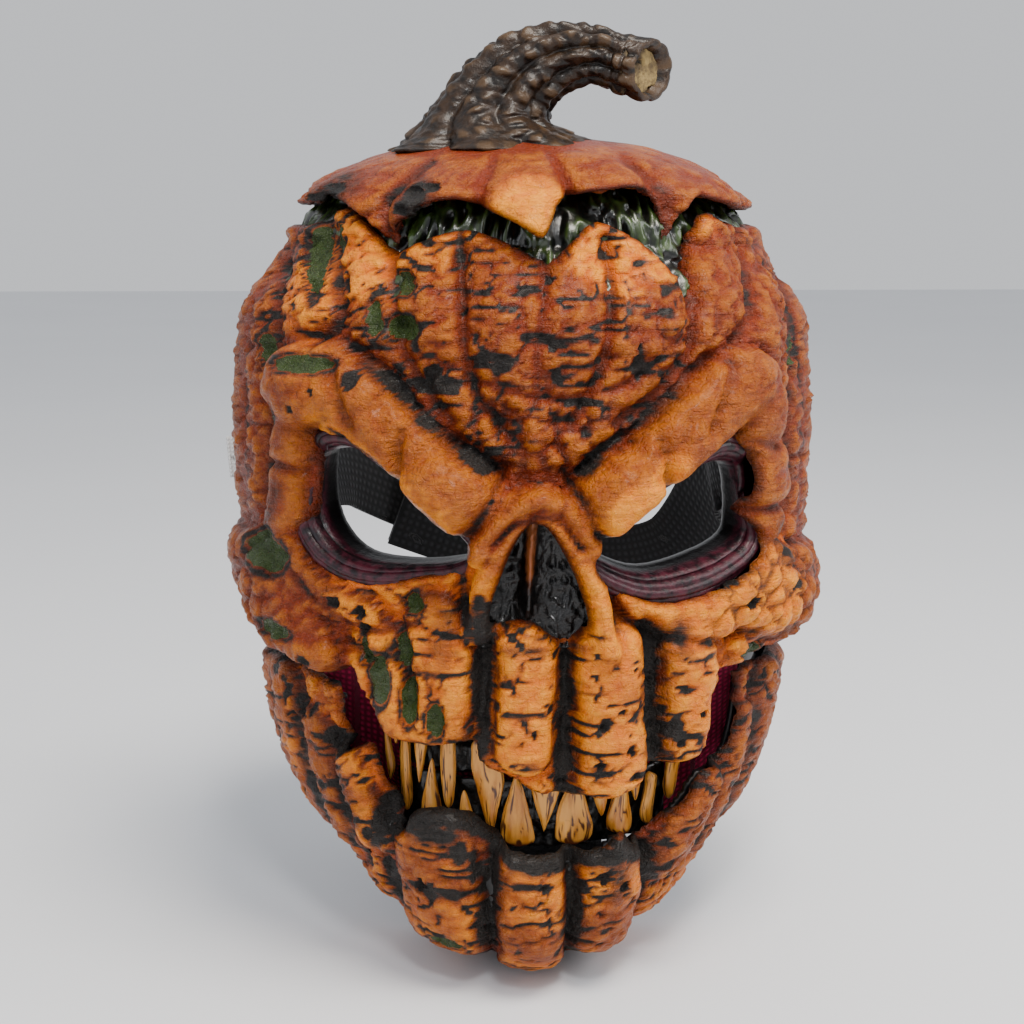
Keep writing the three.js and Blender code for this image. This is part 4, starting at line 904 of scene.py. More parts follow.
# wet strings of pulp under the lid's edge
pulpHeights = np.linspace(81.5, 116.5, 44)
angle, height = angleGrid(headSize, pulpHeights, 300, 40, offset=-5.5)
base = onForm(headSize, angle, height, 0)
strand = layered(base + 4 * layered(base, 12, 71)[..., None], (4.2, 4.2, 16), 72, 2)
crossed = layered(base, (7, 7, 4), 74, 2)
ridge = np.clip(1 - np.abs(strand - 0.5) / 0.2, 0, 1)
swell = 3.6 * np.sqrt(ridge) * (0.6 + 0.7 * crossed) - 1.6
places = onForm(headSize, angle, height, -5.5)
outward = np.stack([np.sin(angle), -np.cos(angle), 0 * angle], -1)
pulpRing = gridPiece("pulpRing", places + outward * swell[..., None], None,
                     {"dark": 1 - ridge}, thickness=1.8)
turnOutward(pulpRing, (0, 0, 90))
finishPiece(pulpRing, "mask", pulpFinish, "green_pulp", "pulp_ring")
print("lid and pulp made")

# stalk
stalkRings = [  # centre x, y, z, half width, half depth, lean in degrees
    (-9, -10, 128.5, 37, 30, 0), (-9, -10, 132.5, 31.5, 26, 0), (-11, -10, 139.5, 22, 20, 6),
    (-7, -11, 146.5, 17.6, 16.2, 24), (0.5, -12, 154, 14.8, 13.6, 50), (11, -13, 159, 12.2, 11.6, 74),
    (23, -14.5, 160, 9.6, 9.8, 94), (34, -16, 157, 9.6, 9.8, 100), (42, -17, 155, 10.6, 10.2, 96)]


def alongRings(table, count):
    table = np.array(table, float)
    made = rounded(table, closed=False, pieces=24)
    pick = np.linspace(0, len(made) - 1, count)
    low = np.floor(pick).astype(int)
    high = np.minimum(low + 1, len(made) - 1)
    part = (pick - low)[:, None]
    return made[low] * (1 - part) + made[high] * part


def ringPoints(rows, turn, reach):
    lean = np.radians(rows[:, 5])[:, None]
    a = rows[:, 3][:, None] * reach * np.sin(turn)
    b = -rows[:, 4][:, None] * reach * np.cos(turn)
    return np.stack([rows[:, 0][:, None] + a * np.cos(lean), rows[:, 1][:, None] + b,
                     rows[:, 2][:, None] - a * np.sin(lean)], -1)


rows = alongRings(stalkRings, 150)
turn = np.linspace(0, 2 * math.pi, 145)[None, :]
plain = ringPoints(rows, turn, 1.0)
share = np.linspace(0, 1, 150)[:, None]
twist = turn + 0.7 * share
cord = np.abs(np.cos(4.5 * twist + 1.1 * layered(plain, 30, 90)))
first, second = cells(plain + 2.5 * layered(plain, 8, 92)[..., None], np.array([7.5, 7.5, 6.0]), 91)
beads = smooth(0.0, 0.5, second - first) * (1 - 0.6 * first)
fineRows = np.abs(layered(plain, (4, 4, 2.6), 93, 2) - 0.5) * 2
bulk = np.minimum(rows[:, 3], rows[:, 4])[:, None]
swell = (1.5 * beads + 3.2 * cord ** 0.7 + 1.1 * fineRows - 3.4) / bulk
roots = 1 - smooth(0.02, 0.2, share)
flutes = np.abs(np.cos(3.5 * turn + 0.6)) ** 0.6 - 0.62
swell = swell * (1 - 0.5 * smooth(0.78, 0.98, share)) + 0.26 * roots * flutes
turned = ringPoints(rows, turn, 1 + swell)
slant = 0.8 * smooth(0.74, 1.0, share)
turned[..., 0] += slant * (turned[..., 1] - rows[:, 1][:, None])
turned[:, -1] = turned[:, 0]
raised = np.clip(beads * 1.1 - 0.35 + 0.3 * cord, 0, 1) * 0.75
# the cut end rolls in round a ragged hollow
endRow, endSwell = rows[-1:], swell[-1:]
inward = []
for reach, push in ((0.97, 1.1), (0.86, 1.4), (0.76, 0.6), (0.70, -1.5), (0.66, -4.0)):
    rim = ringPoints(endRow, turn, reach * (1 + 0.5 * endSwell))
    rim[..., 0] += push + 0.8 * (rim[..., 1] - endRow[0, 1])
    rim[:, -1] = rim[:, 0]
    inward.append(rim[0])
stalkPoints = np.concatenate([turned, np.array(inward)])
stalkRaised = np.concatenate([raised, np.repeat(raised[-1:] * 0.6 + 0.3, len(inward), 0)])
stalk = gridPiece("stalk", stalkPoints, None, {"raised": stalkRaised}, weld=True, thickness=1.6)
turnOutward(stalk, (0, -12, 145))
finishPiece(stalk, "mask", stalkFinish, "stalk_skin", "stem_skin")

reach = np.linspace(0.0, 0.70, 22)[:, None]
turn = np.linspace(0, 2 * math.pi, 73)[None, :]
last = np.array(stalkRings[-1], float)
disc = np.stack([0 * reach * turn, -last[4] * reach * np.cos(turn), -last[3] * reach * np.sin(turn)], -1)
pits = layered(disc, 3.0, 96, 2)
sunk = smooth(0.48, 0.66, pits)
disc = disc + np.array([40.2, -17, 155]) - np.stack([2.6 * sunk, 0 * sunk, 0 * sunk], -1)
disc[..., 0] += 0.8 * (disc[..., 1] + 17)
disc[:, -1] = disc[:, 0]
disc[0] = disc[0].mean(0)
stalkCore = gridPiece("stalkCore", disc, None, {"dark": sunk}, weld=True, thickness=4.5)
turnOutward(stalkCore, (20, -17, 155))
finishPiece(stalkCore, "mask", coreFinish, "stalk_foam", "stem_core")
print("stalk made")

# eye rims: ridged flesh between the skin's socket edge and the eye hole
eyes = {  # which socket, the corner its rings start from, how far the hole is moved, ring count
    "left": {"socket": 0, "corner": [-20.0, 6.0], "move": [-1.0, -2.2], "rings": 4.6, "hole": [
        [-66.5, 32.5], [-62, 35], [-52.4, 34.8], [-41.4, 27.4], [-29, 16.5], [-21, 6.4], [-29, 3.5],
        [-41.7, 2.4], [-54.5, 3.3], [-62.7, 8.8], [-66.8, 18]]},
    "right": {"socket": 1, "corner": [19.0, 4.0], "move": [1.5, -0.4], "rings": 5.2, "hole": [
        [19.6, 6.2], [33.2, 17.5], [49.6, 26.3], [60, 28.4], [66.6, 25.3], [68.6, 11.9], [66.2, 4],
        [53.7, 0], [36.8, -2], [23.8, 2.2]]},
}


def evenly(outline, count, start):
    line = rounded(outline)
    line = np.roll(line, -int(np.argmin(np.hypot(*(line - start).T))), 0)
    if np.sum(line[:, 0] * np.roll(line[:, 1], -1) - np.roll(line[:, 0], -1) * line[:, 1]) < 0:
        line = np.concatenate([line[:1], line[:0:-1]])
    line = np.concatenate([line, line[:1]])
    run = np.concatenate([[0], np.cumsum(np.hypot(*np.diff(line, axis=0).T))])
    pick = np.linspace(0, run[-1], count)
    return np.stack([np.interp(pick, run, line[:, k]) for k in (0, 1)], -1)


def grown(line, factor):
    middle = line.mean(0)
    return middle + (line - middle) * factor


def onHead(x, z, offset):
    width, depth = headSize(z, offset)
    sine = np.clip(x / width, -1, 1)
    return np.stack([x, -depth * np.sqrt(1 - sine ** 2), z], -1)


# Turns a surface over when one of its polygons faces away from the front.
def faceFront(piece, polygon):
    if piece.data.polygons[polygon].normal.y > 0:
        piece.data.flip_normals()


for name, eye in eyes.items():
    corner = np.array(eye["corner"])
    outer = grown(evenly(skinEdges["sockets"][eye["socket"]], 241, corner), 1.13)
    inner = grown(evenly(eye["hole"], 241, corner), 1.13) + np.array(eye["move"])
    span = np.hypot(*(outer - inner).T)
    share = np.linspace(0, 1, 34)[:, None]
    line = outer[None] * (1 - share[..., None]) + inner[None] * share[..., None]
    x, z = line[..., 0], line[..., 1]
    wide = smooth(3, 9, span)[None]
    spot = np.stack([x, z, 0 * x], -1)
    ridges = np.abs(np.sin(math.pi * (share * eye["rings"] + 0.35 * layered(spot, 14, 120))))
    profile = -6.6 + 6.2 * np.sin(math.pi * np.clip(share * 0.9 + 0.12, 0, 1)) ** 0.8 * (0.45 + 0.55 * wide)
    offset = profile + 1.3 * ridges * wide * np.sin(math.pi * np.clip(share, 0.03, 0.97)) - 0.6
    offset = offset + 0.5 * (layered(spot, 3.0, 122) - 0.5)
    tuck = smooth(0.86, 1.0, share) * 2.4
    place = onHead(x, z, 0)
    normal = np.stack([x / 100, -np.ones_like(x), 0 * x], -1)
    place = place + normal * (offset - tuck)[..., None]
    backRows = [place[-1] + np.array([0, d, 0]) for d in (1.6, 3.2)]
    place = np.concatenate([place, np.array(backRows)])
    ridges = np.concatenate([ridges * np.ones_like(x), np.repeat(ridges[-1:] * 0 + 0.4, 2, 0)
                             * np.ones((2, x.shape[1]))])
    inward = np.concatenate([smooth(0.84, 0.98, share) * np.ones_like(x), np.ones((2, x.shape[1]))])
    place[:, -1] = place[:, 0]
    dark = np.maximum(0.9 * (1 - ridges) ** 2, inward)
    rim = gridPiece("eyeRim" + name.capitalize(), place, None, {"dark": dark}, weld=True, thickness=1.4)
    faceFront(rim, 100)
    finishPiece(rim, "mask", rimFinish, "purple_rim", "eye_rim_" + name)
print("eye rims made")

# nose cavity: crumpled lining with two deep hollows and a thin wall between them
across = np.linspace(-18, 19, 76)[None, :]
up = np.linspace(-26, 18, 88)[:, None]
x, z = across + 0 * up, up + 0 * across
spot = np.stack([x, z, 0 * x], -1)
hollows = (np.exp(-(((x + 7.5) / 5.2) ** 2 + ((z + 5) / 12) ** 2) ** 1.5)
           + np.exp(-(((x - 6) / 6) ** 2 + ((z + 3) / 12) ** 2) ** 1.5))
crumple = np.abs(layered(spot, (3.2, 5, 3), 131, 3) - 0.5) * 2
wall = np.exp(-((x + 1.2 - 0.05 * z) / 1.6) ** 2) * smooth(-22, -10, z)
offset = -5.6 - 3.2 * np.clip(hollows, 0, 1) + 2.4 * (1 - crumple) + 4.6 * wall
place = onHead(x, z, 0) + np.stack([0 * x, -offset, 0 * x], -1)
noseLiner = gridPiece("noseLiner", place, None, {"raised": wall * smooth(-14, 6, z)}, thickness=1.2)
faceFront(noseLiner, 10)
finishPiece(noseLiner, "mask", noseFinish, "black_liner", "nose_liner")

# teeth
toothArc = {"halfWidth": 74, "depth": 77, "thickness": 4}
upperTeeth = [
    [[-48.8, -61.9], [-48.5, -68.5], [-47.6, -75.9], [-46.4, -79.8], [-44.7, -74.8], [-46.2, -67.9],
     [-47.3, -62.6]],
    [[-46.2, -62], [-44.4, -66.8], [-43.7, -62.2]],
    [[-42.7, -63.1], [-43.5, -73.7], [-43, -86.2], [-40.8, -89.3], [-39, -85.3], [-39.2, -76.3],
     [-40, -62.7]],
    [[-38.7, -62.5], [-38.1, -70.9], [-37, -78.5], [-35.9, -75.5], [-34.8, -70], [-33.6, -61.6]],
    [[-29.4, -61.2], [-30, -73], [-28.6, -83.5], [-26.9, -85.7], [-25.2, -83.1], [-24.4, -74],
     [-24.9, -60.8]],
    [[-19, -61], [-20, -68.3], [-18.8, -76.4], [-14.6, -90.3], [-12.4, -92.6], [-10.6, -84.6],
     [-8.4, -76.6], [-9, -70.1], [-11.6, -61.6]],
    [[-1.5, -70.7], [3.5, -90.5], [4.5, -91.9], [5.6, -89.5], [9.3, -79.7], [10.6, -72.2]],
    [[19.3, -76.2], [23.4, -88.8], [26.1, -80.4], [26.4, -77.1]],
    [[31.8, -70.9], [35.2, -85.5], [37.7, -74.6], [38, -71.9]],
    [[47.4, -72.9], [44.6, -82.4], [47.3, -88.4], [51.3, -82.4], [52.3, -74.2]],
]
lowerTeeth = [
    [[-32.5, -69.5], [-35.2, -79.2], [-36.4, -88.2], [-29, -87.1], [-30.6, -78.5]],
    [[-22, -79], [-23.6, -84.5], [-23.4, -91.8], [-17.2, -92.9], [-19.4, -85.1]],
    [[-5.1, -72.8], [-7.6, -79], [-10, -88.4], [-9.8, -96], [0.4, -96.5], [1.4, -92.1], [-0.5, -84.5],
     [-2.5, -77.2]],
    [[12.3, -77.7], [8.9, -83.7], [7.2, -92.3], [9, -96.5], [18.8, -96.5], [21.1, -91.7], [19.4, -85.3],
     [16.6, -78.1]],
    [[30.5, -76.2], [28, -80.7], [26, -85.3], [24.4, -90.7], [26.2, -94.8], [33, -95.8],
     [34.7, -92.3], [33.8, -86.7], [32.2, -79.3]],
    [[39.4, -77], [38.1, -83.1], [36.4, -90.7], [38.3, -94.5], [41.3, -94.5], [41.9, -90.1],
     [43.2, -80.4], [42.9, -77.9]],
]


def makeTooth(name, outline, seed, tipDown):
    line = rounded(outline, pieces=5)
    middle = float(np.array(outline)[:, 0].mean())
    low, high = line[:, 1].min(), line[:, 1].max()
    levels = low + (high - low) * (0.5 - 0.5 * np.cos(np.linspace(0.04, math.pi - 0.04, 34)))
    rows = []
    nexts = np.roll(line, -1, 0)
    for level in levels:
        hits = [a[0] + (b[0] - a[0]) * (level - a[1]) / (b[1] - a[1])
                for a, b in zip(line, nexts) if (a[1] > level) != (b[1] > level)]
        rows.append((min(hits), max(hits)) if hits else rows[-1])
    rows = np.array(rows)
    centre, half = rows.mean(1), (rows[:, 1] - rows[:, 0]) / 2
    turn = np.linspace(0, 2 * math.pi, 49)[None, :]
    share = np.linspace(0, 1, len(levels))[:, None]
    spot = np.stack([np.cos(turn) * 3 + 0 * share, np.sin(turn) * 3 + 0 * share,
                     levels[:, None] + 0 * turn], -1)
    groove = np.abs(layered(spot, (0.9, 0.9, 14), seed, 2) - 0.5) * 2
    chips = layered(spot, 2.2, seed + 5, 2) - 0.5
    swell = 1 - 0.16 * (1 - groove) ** 2 + 0.10 * chips
    thick = np.minimum(toothArc["thickness"] / 2, half * 0.85 + 0.3)[:, None]
    local = np.stack([centre[:, None] - middle + half[:, None] * np.cos(turn) * swell,
                      -thick * np.sin(turn) * swell, levels[:, None] + 0 * turn], -1)
    local[:, -1] = local[:, 0]
    tips = [np.repeat(local[k].mean(0)[None, None], local.shape[1], 1) for k in (0, -1)]
    local = np.concatenate([tips[0], local, tips[1]])
    y = -toothArc["depth"] * math.sqrt(1 - (middle / toothArc["halfWidth"]) ** 2)
    bend = math.atan2(middle * toothArc["depth"] ** 2, -y * toothArc["halfWidth"] ** 2)
    cos, sin = math.cos(bend), math.sin(bend)
    place = np.stack([local[..., 0] * cos - local[..., 1] * sin + middle,
                      local[..., 0] * sin + local[..., 1] * cos + y, local[..., 2]], -1)
    root = (share if tipDown else 1 - share)
    # darker towards the root, in the grooves and on the chips
    toothDarkening = 0.9 * smooth(0.72, 1.0, root) + 0.75 * (1 - smooth(0.0, 0.16, groove)) + 0.25 * (chips > 0.28)
    toothDarkening = np.concatenate([toothDarkening[:1] * np.ones_like(turn), toothDarkening * np.ones_like(turn),
                            toothDarkening[-1:] * np.ones_like(turn)])
    return gridPiece(name, place, None, {"dark": np.clip(toothDarkening, 0, 1)}, weld=True)


for k, outline in enumerate(upperTeeth):
    tooth = makeTooth(f"upperTooth{k + 1}", outline, 200 + 7 * k, True)
    finishPiece(tooth, "mask", toothFinish, "tooth_paint", f"upper_tooth_{k + 1}")
for k, outline in enumerate(lowerTeeth):
    tooth = makeTooth(f"lowerTooth{k + 1}", outline, 300 + 7 * k, False)
    finishPiece(tooth, "jaw", toothFinish, "tooth_paint", f"lower_tooth_{k + 1}")
print("teeth made")

# gums
def gumPiece(name, low, high, angles, inset, seed, thickness):
    turn = np.linspace(*angles, 130)[None, :]
    level = np.linspace(low, high, 30)[:, None]
    spot = np.stack([70 * np.sin(turn) + 0 * level, 0 * level * turn, level + 0 * turn], -1)
    depth = inset(level) + 1.2 * (1 - np.abs(layered(spot, (3, 3, 6), seed, 3) - 0.5) * 4)
    x = (toothArc["halfWidth"] - 2.6 - depth) * np.sin(turn)
    y = -(toothArc["depth"] - 2.6 - depth) * np.cos(turn)
    gum = gridPiece(name, np.stack([x, y, level + 0 * turn], -1), thickness=thickness)
    return turnOutward(gum, (0, 0, (low + high) / 2))


upperGum = gumPiece("upperGum", -75.5, -52, (-0.72, 0.8),
                    lambda z: 4.2 * (1 - smooth(-67, -62, z)), 141, 2.2)
finishPiece(upperGum, "mask", gumFinish, "black_liner", "upper_gum")
lowerGum = gumPiece("lowerGum", -99, -76, (-0.68, 0.73), lambda z: 0.6 + 0 * z, 143, 1.8)
finishPiece(lowerGum, "jaw", gumFinish, "black_liner", "lower_gum")

# thin plastic shells
hinge = {"y": 6.0, "z": -22.0, "holeRadius": 2.8}
shellLine = np.array([[-120, -35.5], [-58, -35.5], [-50, -48], [-46, -54], [-16, -55], [0, -64],
                      [48, -63], [54, -52], [57, -37], [120, -35.5]], float)


def shellPoints(sizeAt, angle, height, offset, boss):
    place = onForm(sizeAt, angle, height, offset)
    near = np.hypot(place[..., 1] - hinge["y"], height - hinge["z"])
    flat = 1 - smooth(boss["radius"], boss["radius"] + 5, near)
    toX = np.sign(place[..., 0]) * boss["x"]
    place[..., 0] = place[..., 0] * (1 - flat) + toX * flat
    return place, near


domeTurn = np.linspace(0.03, math.pi / 2 - 0.03, 26)
heights = np.concatenate([
    np.linspace(-66, 98, 110), dome["base"] + (dome["rise"] - 9.5) * np.sin(domeTurn)])
angle, height = angleGrid(headSize, heights, 130, 44, offset=-9.5)
holes = [grown(rounded(eye["hole"]), 1.26) + np.array([0, -2.4]) for eye in eyes.values()]
angle, height, keep, gap = trimToOutlines(headSize, angle, height, holes, [(shellLine, 1)])
place, near = shellPoints(headSize, angle, height, -9.5, {"radius": 10, "x": 92.2})
centre = (near[1:, 1:] + near[:-1, :-1]) / 2
side = np.abs(place[..., 0]) > 60
keep &= ~((centre < hinge["holeRadius"]) & side[1:, 1:])
upperShell = gridPiece("upperShell", place, keep, thickness=2.0, weld=True)
turnOutward(upperShell, (0, 0, 20))
finishPiece(upperShell, "mask", shellFinish, "black_shell", "upper_shell")


def jawShellReach(height, depth):
    back = np.interp(height, jawBack[:, 0], jawBack[:, 1]) - 2
    if height > -46:
        back = 16
    return math.acos(max(min(-back / depth, 1), -1))


heights = np.concatenate([np.linspace(-141, -47, 60), np.linspace(-45.5, -8, 26)])
angle, height = angleGrid(jawSize, heights, 110, 40, offset=-5.5, lastAngle=jawShellReach)
lowered = lineOf("jaw", 4.5)
base = onForm(jawSize, angle, height, -5.5)
middleY = (base[1:, 1:, 1] + base[:-1, :-1, 1]) / 2
middleX = (base[1:, 1:, 0] + base[:-1, :-1, 0]) / 2
middleZ = (height[1:, 1:] + height[:-1, :-1]) / 2
isArm = (middleY > -15) & (middleY < 16)
level = np.interp(middleX, lowered[:, 0], lowered[:, 1])
keep = isArm | ((middleZ < -46) & ((middleY > -20) | (middleZ < level)))
place, near = shellPoints(jawSize, angle, height, -5.5, {"radius": 8, "x": 87.7})
centre = (near[1:, 1:] + near[:-1, :-1]) / 2
keep &= ~(centre < hinge["holeRadius"])
under = [0.04, 0.5, 0.85]
middle = np.array([0.0, -31.0, -140.5])
place = np.concatenate([[middle + (place[0] - middle) * k for k in under], place])
keep = np.concatenate([np.ones((len(under), keep.shape[1]), bool), keep])
jawShell = gridPiece("jawShell", place, keep, thickness=2.0)
turnOutward(jawShell, (0, 0, -90))
finishPiece(jawShell, "jaw", shellFinish, "black_shell", "jaw_shell")
print("gums and shells made")

# foam pads
def padPiece(name, front, back, low, high, across, axis, body, node):
    turn = np.linspace(0, 2 * math.pi, 97)[None, :]
    rise = np.linspace(-1, 1, 30)[:, None] * np.ones_like(turn)
    shrink = (1 - np.abs(rise) ** 8) ** 0.125
    cos, sin = (np.sign(v) * np.abs(v) ** 0.35 for v in (np.cos(turn), np.sin(turn)))
    u = (across[0] + across[1]) / 2 + (across[1] - across[0]) / 2 * cos * (0.9 + 0.1 * shrink)
    w = (low + high) / 2 + (high - low) / 2 * rise
    near, far = front(u, w), back
    v = (near + far) / 2 + (far - near) / 2 * sin * shrink
    place = np.stack([u, v, w] if axis == "y" else [v, u, w], -1)
    place[:, -1] = place[:, 0]
    ends = [np.repeat(place[k].mean(0)[None, None], place.shape[1], 1) for k in (0, -1)]
    pad = gridPiece(name, np.concatenate([ends[0], place, ends[1]]), weld=True)
    finishPiece(pad, body, foamFinish, "foam", node)
    return pad


def insideFront(u, w):
    width, depth = headSize(w, -12.0)
    return -depth * np.sqrt(1 - np.clip(u / width, -1, 1) ** 2)


padPiece("foreheadPad", insideFront, -66.0, 48.5, 77.5, (-37.5, 37.5), "y", "mask", "forehead_pad")
for name, side in (("left", -1), ("right", 1)):
    def insideSide(u, w, side=side):
        width, depth = headSize(w, -12.0)
        return side * width * np.sqrt(1 - np.clip(u / depth, -1, 1) ** 2)
    padPiece("templePad" + name.capitalize(), insideSide, side * 78.2, 5.5, 44.5, (-29.5, 9.5), "x", "mask",
             "temple_pad_" + name)


def insideChin(u, w):
    width, depth = jawSize(w, -8.6)
    return -depth * np.sqrt(1 - np.clip(u / width, -1, 1) ** 2)


padPiece("chinPad", insideChin, -44.3, -128.5, -103.5, (-25.5, 25.5), "y", "jaw", "chin_pad")
print("pads made")

# harness
def throughPoints(points, shares):
    points = np.array(points, float)
    count = len(points)
    made = []
    for share in shares:
        place = share * (count - 1)
        k = min(int(math.floor(place)), count - 2)
        weight = place - k
        p1, p2 = points[k], points[k + 1]
        p0 = points[k - 1] if k > 0 else 2 * p1 - p2
        p3 = points[k + 2] if k + 2 < count else 2 * p2 - p1
        d0, d1, d2 = (math.sqrt(np.linalg.norm(b - a)) for a, b in ((p0, p1), (p1, p2), (p2, p3)))
        t1 = ((p1 - p0) / d0 - (p2 - p0) / (d0 + d1) + (p2 - p1) / d1) * d1
        t2 = ((p2 - p1) / d1 - (p3 - p1) / (d1 + d2) + (p3 - p2) / d2) * d1
        made.append(p1 + t1 * weight + (-3 * p1 + 3 * p2 - 2 * t1 - t2) * weight ** 2
                    + (2 * p1 - 2 * p2 + t1 + t2) * weight ** 3)
    return np.array(made)


def bandPoints(path, width, start=0.0, lift=0.0, steps=120, acrossSteps=20, ripple=0.25, seed=1):
    shares = np.linspace(start, 1, steps)
    centre = throughPoints(path["points"], shares)
    step = 0.002
    along = (throughPoints(path["points"], np.minimum(shares + step, 1))
             - throughPoints(path["points"], np.maximum(shares - step, 0)))
    along /= np.linalg.norm(along, axis=1)[:, None]
    first, last = (np.array(way, float) for way in path["widthAt"])
    part = np.minimum(shares * 1.4, 1)[:, None]
    lean = first * (1 - part) + last * part
    across = lean - along * np.sum(lean * along, 1)[:, None]
    across /= np.linalg.norm(across, axis=1)[:, None]
    outward = np.cross(across, along) * path["outerSide"]
    centre = centre + outward * lift
    run = np.concatenate([[0], np.cumsum(np.linalg.norm(np.diff(centre, axis=0), axis=1))])
    u = np.linspace(-1, 1, acrossSteps)
    spot = np.stack([run[:, None] + 0 * u, u[None] * width / 2 + 0 * run[:, None],
                     0 * run[:, None] * u], -1)
    wave = (layered(spot, (26, 14, 9), seed, 2) - 0.5) * 2 * ripple
    place = (centre[:, None] + across[:, None] * (u * width / 2)[None, :, None]
             + outward[:, None] * wave[..., None])
    return place, run, u * width / 2


def addWeave(piece, place, run, side):
    mesh = piece.data
    layer = mesh.uv_layers.new(name="weave")
    known = {}
    flat = ((place.reshape(-1, 3) + shift) / 1000)
    for k, p in enumerate(flat):
        known[(round(p[0], 6), round(p[1], 6), round(p[2], 6))] = k
    columns = place.shape[1]
    for loop in mesh.loops:
        co = mesh.vertices[loop.vertex_index].co
        k = known.get((round(co.x, 6), round(co.y, 6), round(co.z, 6)), 0)
        layer.data[loop.index].uv = (run[k // columns] / 1000, side[k % columns] / 1000)
    return piece


strapPaths = {
    "left": {"points": [[-85.6, 16, 16], [-81.8, 28, 15], [-77.3, 37, 14], [-76, 43, 13], [-75.6, 56, 11],
                        [-66, 80, 6], [-38, 99.9, -9], [-8, 106.8, -21]],
             "widthAt": [[0, 0, 1], [-0.3, 0, 1]], "outerSide": 1},
    "right": {"points": [[85.6, 16, 16], [81.6, 28, 15], [76.8, 37, 13], [75.4, 44, 10], [79, 60, -4],
                         [68, 84, -36], [34, 97, -44], [0, 97.6, -31], [-46, 88, -12]],
              "widthAt": [[0, 0, 1], [-0.35, 0, 1]], "outerSide": -1},
    "top": {"points": [[0, 18, 119.6], [0, 28, 118.1], [0, 37, 115.9], [0, 44, 112.5], [0, 62, 101],
                       [0, 88, 72], [0, 105, 30], [3, 112.6, -4], [5, 113.6, -22]],
            "widthAt": [[1, 0, 0], [1, 0, 0]], "outerSide": 1},
}
for name, node, width, seed in (
        ("left", "side_strap_left", 38, 401), ("right", "side_strap_right", 38, 402),
        ("top", "top_strap", 25, 403)):
    place, run, side = bandPoints(strapPaths[name], width, seed=seed)
    strap = gridPiece("strap" + name.capitalize(), place, thickness=1.5, offset=0.0)
    addWeave(strap, place, run, side)
    finishPiece(strap, "mask", strapFinish, "webbing", node)
for name, path, lift in (("hookPatch", "left", -2.2), ("loopPatch", "right", 1.9)):
    place, run, side = bandPoints(strapPaths[path], 35, 0.875, lift, 40, 30, 0.12, 410)
    patch = gridPiece(name, place, thickness=0.9, offset=0.0)
    finishPiece(patch, "mask", pileFinish, "webbing", "hook_patch" if path == "left" else "loop_patch")

# elastic bands from the plastic shell to the jaw
for name, side in (("left", -1), ("right", 1)):
    down = np.linspace(0, 1, 60)[:, None]
    across = np.linspace(-32, -24, 9)[None, :]
    place = np.stack([side * (80 - 5.5 * down) + 0 * across, across + 0 * down,
                      -3 - 59 * down + 0 * across], -1)
    elastic = gridPiece("jawElastic" + name.capitalize(), place, thickness=1.3, offset=0.0)
    addWeave(elastic, place, 59 * down[:, 0], across[0] + 28)
    elastic.data.materials.append(elasticFinish)
    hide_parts("jaw_elastic_" + name)
    top, bottom = place[0].mean(0), place[-1].mean(0)
    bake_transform(elastic)

# crimson cloth behind the mouth, seen at both corners
half = [[0, -58], [16, -56], [30, -51], [40, -45], [49, -41.5], [58, -40], [66, -38], [74.5, -34.5]]
front = [[-x, y] for x, y in half[:0:-1]] + half
liningLine = rounded(front, closed=False, pieces=10)
run = np.concatenate([[0], np.cumsum(np.hypot(*np.diff(liningLine, axis=0).T))])
pick = np.linspace(0, run[-1], 170)
lineX, lineY = (np.interp(pick, run, liningLine[:, k]) for k in (0, 1))
reachX = np.abs(lineX)
bottom = np.interp(reachX, [0, 44, 60, 68, 74.5], [-100, -102, -94, -86, -76])
top = -62 + 17.8 * smooth(46, 50, reachX)
share = np.linspace(0, 1, 60)[:, None]
level = bottom * (1 - share) + top * share
spot = np.stack([pick[None] + 0 * level, level, 0 * level], -1)
fold = 0.5 * (layered(spot, (9, 30, 9), 421, 2) - 0.5) * 2
place = np.stack([lineX[None] + 0 * level, lineY[None] + fold + 0.6, level], -1)
mouthLining = gridPiece("mouthLining", place, thickness=0.7, offset=0.0)
addWeave(mouthLining, place, np.linspace(0, 56, 60), pick)
finishPiece(mouthLining, "jaw", clothFinish, "crimson_cloth", "mouth_lining")

# care tag, left blank
tagPath = {"points": [[-79.6, 41, 15], [-86, 43.5, 15], [-98, 44.5, 15], [-112, 43, 14]],
           "widthAt": [[0, 0, 1], [0, 0, 1]], "outerSide": 1}
place, run, side = bandPoints(tagPath, 16, steps=50, ripple=0.3, seed=431)
careTag = gridPiece("careTag", place, thickness=0.35, offset=0.0)
addWeave(careTag, place, run, side)
finishPiece(careTag, "mask", tagFinish, "tag_cloth", "care_tag")

# rivets and washers keep their CAD shapes
for node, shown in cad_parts.items():
    if "rivet" in node or "washer" in node:
        finish = steelFinish if "rivet" in node else nylonFinish
        if shown.material_slots:
            for place in shown.material_slots:
                place.material = finish
        else:
            shown.data.materials.append(finish)
print("harness made")

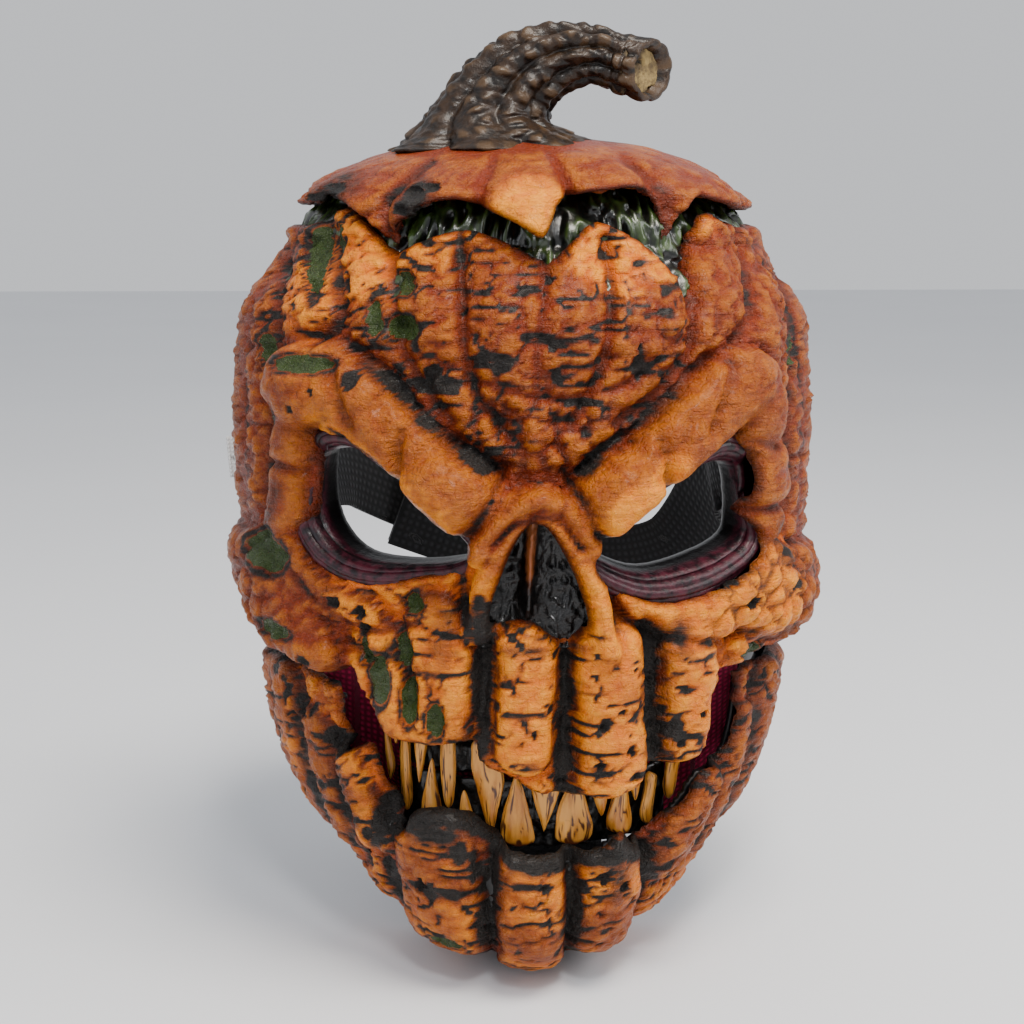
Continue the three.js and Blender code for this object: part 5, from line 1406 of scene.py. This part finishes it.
# floor, light, camera
floorLevel = -0.2115
floorFinish, tree, shader, place = newMaterial("mattePaleSheet", inputs={"Roughness": 0.75})
clouded = pattern(tree, place, 400, 2, 0.5)
base = addNode(tree, "Mix", {0: clouded, 6: colour("DCDEE2"), 7: colour("E4E6E9")}, **asColour)
tree.links.new(base, shader.inputs["Base Color"])
bm = bmesh.new()
bmesh.ops.create_grid(bm, x_segments=4, y_segments=4, size=4)
mesh = bpy.data.meshes.new("floor")
bm.to_mesh(mesh)
bm.free()
floor = bpy.data.objects.new("floor", mesh)
bpy.context.collection.objects.link(floor)
floor.data.transform(Matrix.Translation((0, 0, floorLevel)))
floor.data.materials.append(floorFinish)

world = bpy.data.worlds.new("paleStudio")
bpy.context.scene.world = world
world.use_nodes = True
world.node_tree.nodes.clear()
back = addNode(world.node_tree, "Background", {"Color": colour("E4E6EA"), "Strength": 0.95}, out=0)
addNode(world.node_tree, "OutputWorld", {"Surface": back})

lights = [  # name, place, size, watts, colour
    ("windowAbove", (0.3, -0.42, 1.15), 0.6, 21.5, "FFF6EA"),
    ("fillLeft", (-0.95, -0.8, 0.35), 0.8, 2.5, "F1F5FF"),
    ("rimRight", (0.9, -0.2, 0.5), 0.6, 5, "FFFFFF"), ("glint", (0.05, -0.7, 0.75), 0.16, 3.5, "FFFFFF")]
view = {"target": (-0.0036, 0.066, -0.063), "distance": 0.6, "azimuth": -2, "elevation": 11,
        "lens": 57.8, "sensor": 36}
target = Vector(view["target"])
for name, at, size, watts, tint in lights:
    lamp = bpy.data.lights.new(name, "AREA")
    lamp.shape, lamp.size, lamp.energy = "DISK", size, watts
    lamp.color = colour(tint)[:3]
    holder = bpy.data.objects.new(name, lamp)
    holder.location = at
    holder.rotation_euler = (target - Vector(at)).to_track_quat("-Z", "Y").to_euler()
    bpy.context.collection.objects.link(holder)

camera = bpy.data.objects.new("camera", bpy.data.cameras.new("camera"))
bpy.context.collection.objects.link(camera)
turnAway, rise = math.radians(view["azimuth"]), math.radians(view["elevation"])
camera.location = target + view["distance"] * Vector((math.sin(turnAway) * math.cos(rise),
                                                      -math.cos(turnAway) * math.cos(rise),
                                                      math.sin(rise)))
camera.rotation_euler = (target - camera.location).to_track_quat("-Z", "Y").to_euler()
camera.data.lens, camera.data.sensor_width = view["lens"], view["sensor"]
bpy.context.scene.camera = camera
print("stage made")
